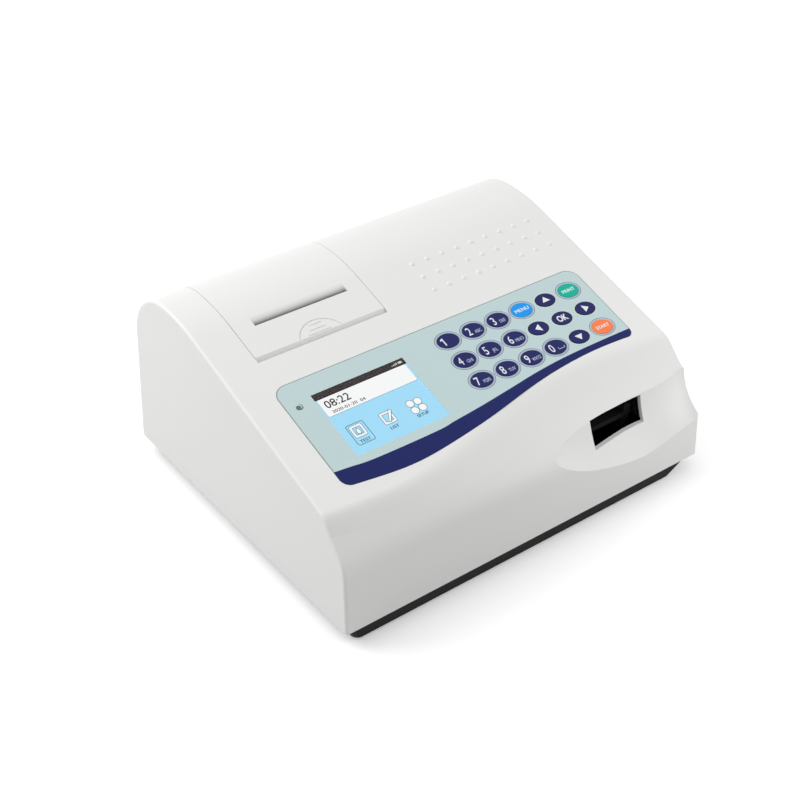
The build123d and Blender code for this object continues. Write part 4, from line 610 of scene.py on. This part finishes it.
def lettering(text, size, centre, low, high, stretch=1.0, weight=0.0):
    """A word on the panel round a centre: its outlines scaled by the size over a capital's height, with the
    upper face at one height and the lower face at the other."""
    if "capital" not in SCALES:
        SCALES["capital"] = float(np.ptp(outlines("H", 0.0)[0][:, 1]))
    flat, faces = outlines(text, weight)
    middle = (flat.max(0) + flat.min(0)) / 2
    middle[1] = SCALES["capital"] / 2
    place = (flat - middle) * size / SCALES["capital"]
    height = np.where(flat[:, 2] > 0, high, low)
    return panel_points(centre[0] + place[:, 0] * stretch, centre[1] + place[:, 1], height), faces


def heavy_lettering(text, size, centre, low, high, stretch, spread=0.12):
    """A heavier word: the same word laid down twice, a spread to each side of its centre, the right one a
    little higher than the left."""
    lift = 0.003
    return joined([lettering(text, size, (centre[0] + side * spread, centre[1]), low, high + lift * side,
                             stretch) for side in (-1, 1)])


def sight(tree, first, second):
    """The first value where light meets the surface, the second where a ray comes from the camera, a
    mirror or a pane, by the largest of the three flags. Gives the value's and the flag's output."""
    rays = add_node(tree, "LightPath", {}).outputs
    pair = maths(tree, "MAXIMUM", rays["Is Camera Ray"], rays["Is Transmission Ray"])
    seen = maths(tree, "MAXIMUM", pair, rays["Is Glossy Ray"])
    level = add_node(tree, "MapRange", {"Value": seen, "To Min": first, "To Max": second})
    return level.outputs[0], seen


def film_edge():
    """Lower edge of the keypad film: the points (n, 2) of its upper face that lie under the keys and the
    screen, from left to right, read from the node itself."""
    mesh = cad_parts["front_overlay"].data
    flat = np.zeros(len(mesh.vertices) * 3)
    mesh.vertices.foreach_get("co", flat)
    place = (flat.reshape(-1, 3) - PANEL_CORNER) / MM
    u, v, height = place @ PANEL_U, place @ PANEL_V, place @ PANEL_N
    low = (v < np.interp(u, *BELOW_KEYS)) & (height > OVERLAY_FACE - 0.03)
    spots = np.unique(np.round(np.stack([u[low], v[low]], 1), 4), axis=0)
    firsts = np.searchsorted(spots[:, 0], np.unique(spots[:, 0]))
    return spots[firsts]


def film_outline(inset, count=16):
    """The film's side and upper edge, moved in by an inset: left side, quarter circle, top, quarter circle
    and right side, as one line (n, 2) whose ends lie at the navy band's edge."""
    left, right = FILM_SIDES[0] + inset, FILM_SIDES[1] - inset
    top, radius = FILM_TOP - inset, FILM_CORNER - inset
    t = np.linspace(np.pi, np.pi / 2, count)
    corner = np.stack([left + radius + radius * np.cos(t), top - radius + radius * np.sin(t)], 1)
    mirror = np.stack([left + right - corner[:, 0], corner[:, 1]], 1)[::-1]
    return np.vstack([[(left, RIM_ENDS[0])], corner, mirror, [(right, RIM_ENDS[1])]])


def key_centre(name):
    """Panel coordinates of a key's middle."""
    column, row = KEYS[name][:2]
    return (KEY_ORIGIN[0] + KEY_PITCH[0] * column, KEY_ORIGIN[1] - KEY_PITCH[1] * row)


# ---------------------------------------------------------------- operators
class ANALYZER_OT_housing(bpy.types.Operator):
    """Gives the moulded shell, the printer cover and the base pan their plastic, with painted shade down the
    cover's paper slot
    """

    bl_idname = "analyzer.housing"
    bl_label = "Housing"

    def execute(self, context):
        look = context.scene.analyzer_finish
        white = moulding("white moulding", look.housing, look.roughness, 0.012, 0.25, 0.0007,
                         {"Specular IOR Level": 0.45})
        dress("upper_housing", white)
        # the cover's copy of the white moulding: painted shade darkens it towards the foot of the paper slot
        lid = white.copy()
        lid.name = "white moulding with painted slot shade"
        tree = lid.node_tree
        colour = tree.nodes["Principled BSDF"].inputs["Base Color"]
        shade = tree.nodes.new("ShaderNodeGroup")
        shade.node_tree = group_named("painted slot shade")
        tree.links.new(colour.links[0].from_socket, shade.inputs["Colour"])
        tree.links.new(shade.outputs["Colour"], colour)
        dress("printer_cover", lid)
        dress("base_pan", moulding("dark moulding", look.base, 0.6, 0.10, 0.5, 0.0009,
                                   {"Specular IOR Level": 0.15}))
        dress("rubber_feet", moulding("foot rubber", srgb(32, 32, 33), 0.8, 0.2, 0.6, 0.0012))
        return {"FINISHED"}


class ANALYZER_OT_sheet(bpy.types.Operator):
    """Prints the keypad sheet: its pale field, the navy band, the rings round the keys and the lamp"""

    bl_idname = "analyzer.sheet"
    bl_label = "Keypad sheet"

    def execute(self, context):
        look = context.scene.analyzer_finish
        dull = {"Specular IOR Level": 0.22}
        navy = print_ink("navy print", look.navy, 0.36, 0.05, dull)

        def printed(name, shape, material):
            """A piece of print on the film."""
            new_piece(name, *shape, material, "instrument", "overlay_film")

        def ring(name, outer, inner):
            """A printed ring round a key."""
            return ellipse_ring(key_centre(name), outer, inner, PRINT_FOOT, PRINT_TOP)

        dress("front_overlay", print_ink("sheet film", look.sheet, shader=dull))
        # the navy band, from the film's own lower edge up to the wave, and down over the film's cut edge
        wave = through(WAVE, 260)
        edge = film_edge()
        u = np.unique(np.concatenate([edge[:, 0], wave[:, 0]]).clip(*BAND_SIDES))
        lower = np.stack([u, np.interp(u, *edge.T) - 0.03], 1)
        upper = np.stack([u, np.interp(u, *wave.T)], 1)
        lower[:, 1] = np.minimum(lower[:, 1], upper[:, 1] - 0.02)
        printed("sheet_band", band(lower, upper, BAND_FOOT, PRINT_TOP), navy)
        # a grey strip inside the film's side and upper edge: partly the film's dark cut edge, partly painted
        # shade of the gap between film and recess
        printed("sheet_rim_and_gap_shade", band(film_outline(0.34), film_outline(0.0), PRINT_FOOT, PRINT_TOP),
                print_ink("rim print with painted gap shade", look.rim, shader=dull))
        large = [name for name in KEYS if name not in SMALL_KEYS]
        small = [name for name in KEYS if name in SMALL_KEYS]
        for title, names, (inner, outer), material in (
                ("sheet_rings", large, LARGE_RINGS[:2], print_ink("ring print", look.ring, shader=dull)),
                ("sheet_ring_lines", large, LARGE_RINGS[1:],
                 print_ink("ring line print", look.ring_line, shader=dull)),
                ("sheet_key_outlines", small, SMALL_RINGS[1:],
                 print_ink("cream print", look.cream, shader=dull)),
                ("sheet_key_borders", small, SMALL_RINGS[:2], navy)):
            printed(title, joined([ring(name, outer, inner) for name in names]), material)
        dress("power_lamp", print_ink("lamp lens", srgb(70, 112, 92), 0.2, 0.1, {"Coat Weight": 0.4}))
        # a crescent round the lamp: the arc of a circle outside, and inside it the same arc moved in by a
        # width that swells from its ends to its middle
        t = np.linspace(-0.95, 0.45, 30) * np.pi
        slim = 0.1 + 0.55 * np.sin((t - t[0]) / (t[-1] - t[0]) * np.pi)
        x, y = LAMP_CENTRE
        outer, inner = (np.stack([x + radius * np.cos(t), y + radius * np.sin(t)], 1)
                        for radius in (LAMP_MARK_R, LAMP_MARK_R - slim))
        printed("lamp_mark", band(outer, inner, PRINT_FOOT, PRINT_TOP),
                print_ink("lamp mark print", srgb(96, 116, 110), shader=dull))
        return {"FINISHED"}


class ANALYZER_OT_keys(bpy.types.Operator):
    """Colours the key caps and prints their digits, letters, words and arrows"""

    bl_idname = "analyzer.keys"
    bl_label = "Keys"

    def execute(self, context):
        look = context.scene.analyzer_finish
        special = {"key_menu": ("menu cap", look.menu, "key_blue"),
                   "key_print": ("print cap", look.printing, "key_teal"),
                   "key_start": ("start cap", look.start, "key_orange")}
        dull = {"Specular IOR Level": 0.25}
        ink = print_ink("legend print", look.legend, 0.4, 0.03, dull)
        pale = print_ink("letter print", srgb(176, 184, 212), 0.4, 0.03, dull)
        low, high = KEY_FACE - 0.05, KEY_FACE + 0.025
        for name, (_, _, mark, letters) in KEYS.items():
            title, colour, slot = special.get(name, ("navy cap", look.navy, "key_navy"))
            dress(name, moulding(title, colour, 0.36, 0.06, 0.12, 0.0005, dull))
            u, v = key_centre(name)
            digit = np.array([u, v]) + DIGIT_PLACE
            if mark in ARROW_TURNS:
                turn = ARROW_TURNS[mark] * np.pi
                spin = np.array([(np.cos(turn), np.sin(turn)), (-np.sin(turn), np.cos(turn))])
                kind, shape = "_mark", slab(np.array([u, v]) + ARROW @ spin, low, high)
            elif mark in WORD_WIDTH:
                kind, shape = "_word", heavy_lettering(mark, SMALL_SIZE, (u, v), low, high, WORD_WIDTH[mark])
            elif mark == "OK":
                kind, shape = "_word", lettering(mark, OK_SIZE, (u, v), low, high, 0.78, 0.03)
            elif mark == "1":
                kind, shape = "_digit", slab(digit + ONE, low, high)
            else:
                # weight would close the hole of a 4
                weight = 0.0 if mark == "4" else 0.008
                kind, shape = "_digit", lettering(mark, DIGIT_SIZE, digit, low, high, 0.74, weight)
            new_piece(name + kind, *shape, ink, name, slot)
            if not letters:
                continue
            if letters == "_":
                shape = joined([slab(rounded_box((u + a, v + b), (u + c, v + d), 0.15), low, high)
                                for (a, b), (c, d) in SPACE_MARK])
            else:
                width = 0.62 if len(letters) == 4 else 0.74
                place = np.array([u, v]) + LETTERS_PLACE
                shape = heavy_lettering(letters, SMALL_SIZE, place, low, high, width, 0.07)
            new_piece(name + "_letters", *shape, pale, name, slot)
        return {"FINISHED"}


class ANALYZER_OT_screen(bpy.types.Operator):
    """Lights the screen: a dark bar, a white panel with the clock, and three icons on blue"""

    bl_idname = "analyzer.screen"
    bl_label = "Screen"

    def execute(self, context):
        look = context.scene.analyzer_screen
        dress("display_window", clear("screen window", (0.99, 0.995, 1.0, 1.0), 0.01, 1.12))
        dress("lcd_module", brushed("screen frame", srgb(120, 122, 126), 0.4, (40.0, 1.0, 40.0), 0.9))

        def piece(name, shape, material):
            """A piece of the picture."""
            new_piece(name, *shape, material, "instrument", "screen_face")

        def field(name, parts, material, layer):
            """One lit layer of the picture, each a little above the last."""
            top = PICTURE_FOOT + LAYER * layer
            piece(name, joined([slab(part, PICTURE_FOOT, top) for part in parts]), material)

        def frame_field(name, corners, radius, wall, material, layer):
            """A square frame with rounded corners, as a strip between two closed lines."""
            (left, foot), (right, head) = corners
            outer = rounded_box((left, foot), (right, head), radius)
            inner = rounded_box((left + wall, foot + wall), (right - wall, head - wall),
                                max(radius - wall, 0.15))
            lines = [np.vstack([line, line[:1]]) for line in (inner, outer)]
            piece(name, band(*lines, PICTURE_FOOT, PICTURE_FOOT + LAYER * layer), material)

        def caption(name, text, size, centre, material, stretch=1.0, weight=0.0):
            """A line of the picture's writing."""
            heights = PICTURE_FOOT, PICTURE_FOOT + 4 * LAYER
            if weight:
                piece(name, lettering(text, size, centre, *heights, stretch, weight), material)
            else:
                piece(name, heavy_lettering(text, size, centre, *heights, stretch, 0.06), material)

        sky, white, bar, shade, ink, edge, signs, grey = (
            lit(name, colour, look.glow) for name, colour in (
                ("screen blue", look.sky), ("screen white", look.white), ("screen bar", look.bar),
                ("screen bar edge", srgb(34, 22, 22)), ("screen ink", look.ink),
                ("screen outline", look.outline), ("screen signs", srgb(214, 214, 214)),
                ("screen grey", srgb(70, 72, 78))))
        for name, low, high, radius, material, layer in (
                ("screen_field", (44.5, -0.1), (113.7, 51.9), 0.3, sky, 1),
                ("screen_bar", (44.6, 47.0), (113.6, 51.85), 0.1, shade, 2),
                ("screen_bar_face", (44.9, 47.7), (113.3, 51.5), 0.1, bar, 3),
                ("screen_panel_edge", (45.9, 32.6), (112.6, 47.0), 1.0, edge, 2),
                ("screen_panel", (46.0, 32.85), (112.5, 46.95), 0.9, white, 3)):
            field(name, [rounded_box(low, high, radius)], material, layer)
        # signs on the bar: four rising strokes and a battery with its knob
        strokes = [rounded_box((103.8 + 1.2 * k, 48.7), (104.5 + 1.2 * k, 49.3 + 0.4 * k), 0.1)
                   for k in range(4)]
        battery = [rounded_box((109.0, 48.8), (111.6, 50.4), 0.2),
                   rounded_box((111.55, 49.3), (111.9, 49.9), 0.1)]
        field("screen_signs", strokes + battery, signs, 4)
        caption("screen_clock", look.clock, 5.6, (57.7, 41.7), ink, weight=0.008)
        caption("screen_date", look.date, 2.2, (62.2, 35.4), grey, 1.22)
        for name, text, middle, stretch in (("caption_test", "TEST", 56.2, 1.15),
                                            ("caption_list", "LIST", 77.9, 1.15),
                                            ("caption_set", "SETUP", 99.3, 1.0)):
            caption(name, text, 2.1, (middle, 8.6), ink, stretch)
        # the chosen icon's frame, then two square icons: a white frame between two thin dark lines
        frame_field("screen_frame", ((50.0, 6.3), (62.7, 22.4)), 1.6, 0.45, edge, 3)
        for name, x in (("icon_one", 51.5), ("icon_two", 73.4)):
            frame_field(name + "_line", ((x, 11.6), (x + 9.2, 21.2)), 1.2, 2.1, edge, 3)
            frame_field(name + "_plate", ((x + 0.35, 11.95), (x + 8.85, 20.85)), 0.9, 1.4, white, 4)
        # a drop on the first icon, a pen on the second, four round counters on the third
        t = np.linspace(0, 2 * np.pi, 40, endpoint=False)
        drop = np.stack([np.sin(t) * np.sin(t / 2), np.cos(t)], 1)
        middle = np.array([56.1, 16.2])
        field("icon_drop_line", [middle + drop * (2.15, 2.75)], edge, 5)
        field("icon_drop", [middle + drop * (1.6, 2.2)], white, 6)
        pen = np.array([(77.2, 13.3), (78.2, 13.0), (82.9, 20.2), (81.4, 21.3)])
        rim = np.array([(-0.4, -0.35), (0.35, -0.4), (0.5, 0.1), (-0.1, 0.5)])
        field("icon_pen_edge", [pen + rim], edge, 6)
        field("icon_pen", [pen], white, 7)
        counters = [(96.5, 18.9), (102.1, 18.7), (102.3, 13.2), (96.5, 13.2)]
        field("icon_counter_edges", [ellipse(centre, (2.85, 2.85)) for centre in counters], edge, 3)
        field("icon_counters", [ellipse(centre, (2.5, 2.5)) for centre in counters], white, 4)
        return {"FINISHED"}


class ANALYZER_OT_inside(bpy.types.Operator):
    """Finishes the tray, the reader, the printer, the paper, the boards and the fasteners"""

    bl_idname = "analyzer.inside"
    bl_label = "Inside"

    def execute(self, context):
        for title, colour, roughness, names in PLASTICS:
            for name in names:
                dress(name, moulding(title, colour, roughness, 0.06, 0.35, 0.0008,
                                     {"Specular IOR Level": 0.3}))
        for title, colour, roughness, names in METALS:
            for name in names:
                dress(name, brushed(title, colour, roughness, (1.0, 30.0, 30.0), 1.0))
        dress("paper_roll", wound_paper())
        for name in ("main_board", "power_supply"):
            dress(name, laminate())
        dress("read_window", clear("read window", (0.98, 0.99, 1.0, 1.0), 0.02))
        # on and off marks of the rocker: a stroke above its pivot and a ring below it
        mark = print_ink("rocker print", srgb(226, 228, 230), 0.4, 0.03)
        low, high = -0.05, 0.03
        stroke = slab(rounded_box((-0.35, 2.4), (0.35, 5.4), 0.3), low, high, rocker_points)
        ring = ellipse_ring((0.0, -3.9), (1.6, 1.6), (1.05, 1.05), low, high, 48, rocker_points)
        new_piece("rocker_marks", *joined([stroke, ring]), mark, "switch", "socket_plastic")
        return {"FINISHED"}


class ANALYZER_OT_stage(bpy.types.Operator):
    """Sets the pale floor, the even room light, two soft lamps and the camera"""

    bl_idname = "analyzer.stage"
    bl_label = "Stage"

    def execute(self, context):
        look = context.scene.analyzer_stage
        scene = context.scene
        scene.view_settings.view_transform = "Standard"
        # floor: one large square just under the feet
        reach, level = 6.0, -0.0002
        mesh = bpy.data.meshes.new("floor")
        mesh.from_pydata([(-reach, -reach, level), (reach, -reach, level), (reach, reach, level),
                          (-reach, reach, level)], [], [(0, 1, 2, 3)])
        floor = bpy.data.objects.new("floor", mesh)
        scene.collection.objects.link(floor)
        paint, tree, surface = new_material("floor paint")
        set_inputs(surface, {"Roughness": 0.9, "Specular IOR Level": 0.1,
                             "Emission Color": (1.0, 1.0, 1.0, 1.0)})
        grey, seen = sight(tree, look.bounce, look.floor)
        tree.links.new(grey, surface.inputs["Base Color"])
        tree.links.new(maths(tree, "MULTIPLY", seen, look.lift), surface.inputs["Emission Strength"])
        mesh.materials.append(paint)
        # the room: white to the camera and to reflections, a plain even light to everything else
        room = bpy.data.worlds.new("room")
        scene.world = room
        room.use_nodes = True
        light = room.node_tree.nodes["Background"]
        light.inputs["Color"].default_value = (1.0, 1.0, 1.0, 1.0)
        room.node_tree.links.new(sight(room.node_tree, look.sky, 1.0)[0], light.inputs["Strength"])
        for name, place, power, size in (("key_lamp", (-0.75, 0.8, 1.07), look.key_lamp, 1.1),
                                         ("fill_lamp", (0.38, -0.38, 0.17), look.fill_lamp, 0.3)):
            lamp = bpy.data.lights.new(name, "AREA")
            lamp.energy = power
            lamp.shape = "SQUARE"
            lamp.size = size
            holder = bpy.data.objects.new(name, lamp)
            scene.collection.objects.link(holder)
            holder.location = place
            holder.visible_camera = False
            aim = Vector(LAMP_AIM) - holder.location
            holder.rotation_euler = aim.to_track_quat("-Z", "Y").to_euler()
        # camera: looks from the front left, above, with a slight roll
        turn, rise, roll = (math.radians(angle) for angle in CAMERA_ANGLES)
        ca, sa, ce, se = math.cos(turn), math.sin(turn), math.cos(rise), math.sin(rise)
        across = Vector((ca, -sa, 0.0))
        upward = Vector((sa * se, ca * se, ce))
        back = Vector((-sa * ce, -ca * ce, se))
        right = math.cos(roll) * across + math.sin(roll) * upward
        above = -math.sin(roll) * across + math.cos(roll) * upward
        camera = bpy.data.cameras.new("camera")
        camera.lens = look.lens
        camera.sensor_width = 36.0
        camera.clip_end = 50.0
        holder = bpy.data.objects.new("camera", camera)
        scene.collection.objects.link(holder)
        placed = Matrix((right, above, back)).transposed().to_4x4()
        placed.translation = Vector(CAMERA_PLACE)
        holder.matrix_world = placed
        scene.camera = holder
        return {"FINISHED"}


class ANALYZER_PT_panel(bpy.types.Panel):
    """Lists the pieces of the analyzer and their sizes and colours"""

    bl_idname = "ANALYZER_PT_panel"
    bl_label = "Analyzer"
    bl_space_type = "VIEW_3D"
    bl_region_type = "UI"
    bl_category = "Analyzer"

    def draw(self, context):
        column = self.layout.column()
        for operator in OPERATORS:
            column.operator(operator.bl_idname)
        scene = context.scene
        for group in (scene.analyzer_finish, scene.analyzer_screen, scene.analyzer_stage):
            for prop in group.bl_rna.properties:
                if prop.identifier not in ("rna_type", "name"):
                    column.prop(group, prop.identifier)


OPERATORS = (ANALYZER_OT_housing, ANALYZER_OT_sheet, ANALYZER_OT_keys, ANALYZER_OT_screen, ANALYZER_OT_inside,
             ANALYZER_OT_stage)
SETTINGS = (AnalyzerFinish, AnalyzerScreen, AnalyzerStage)


def register():
    for cls in SETTINGS + OPERATORS + (ANALYZER_PT_panel,):
        bpy.utils.register_class(cls)
    bpy.types.Scene.analyzer_finish = bpy.props.PointerProperty(type=AnalyzerFinish)
    bpy.types.Scene.analyzer_screen = bpy.props.PointerProperty(type=AnalyzerScreen)
    bpy.types.Scene.analyzer_stage = bpy.props.PointerProperty(type=AnalyzerStage)


def unregister():
    del bpy.types.Scene.analyzer_stage
    del bpy.types.Scene.analyzer_screen
    del bpy.types.Scene.analyzer_finish
    for cls in reversed(SETTINGS + OPERATORS + (ANALYZER_PT_panel,)):
        bpy.utils.unregister_class(cls)


def main():
    """Builds every piece in order."""
    register()
    bpy.ops.analyzer.housing()
    bpy.ops.analyzer.sheet()
    bpy.ops.analyzer.keys()
    bpy.ops.analyzer.screen()
    bpy.ops.analyzer.inside()
    bpy.ops.analyzer.stage()


if __name__ == "__main__":
    main()
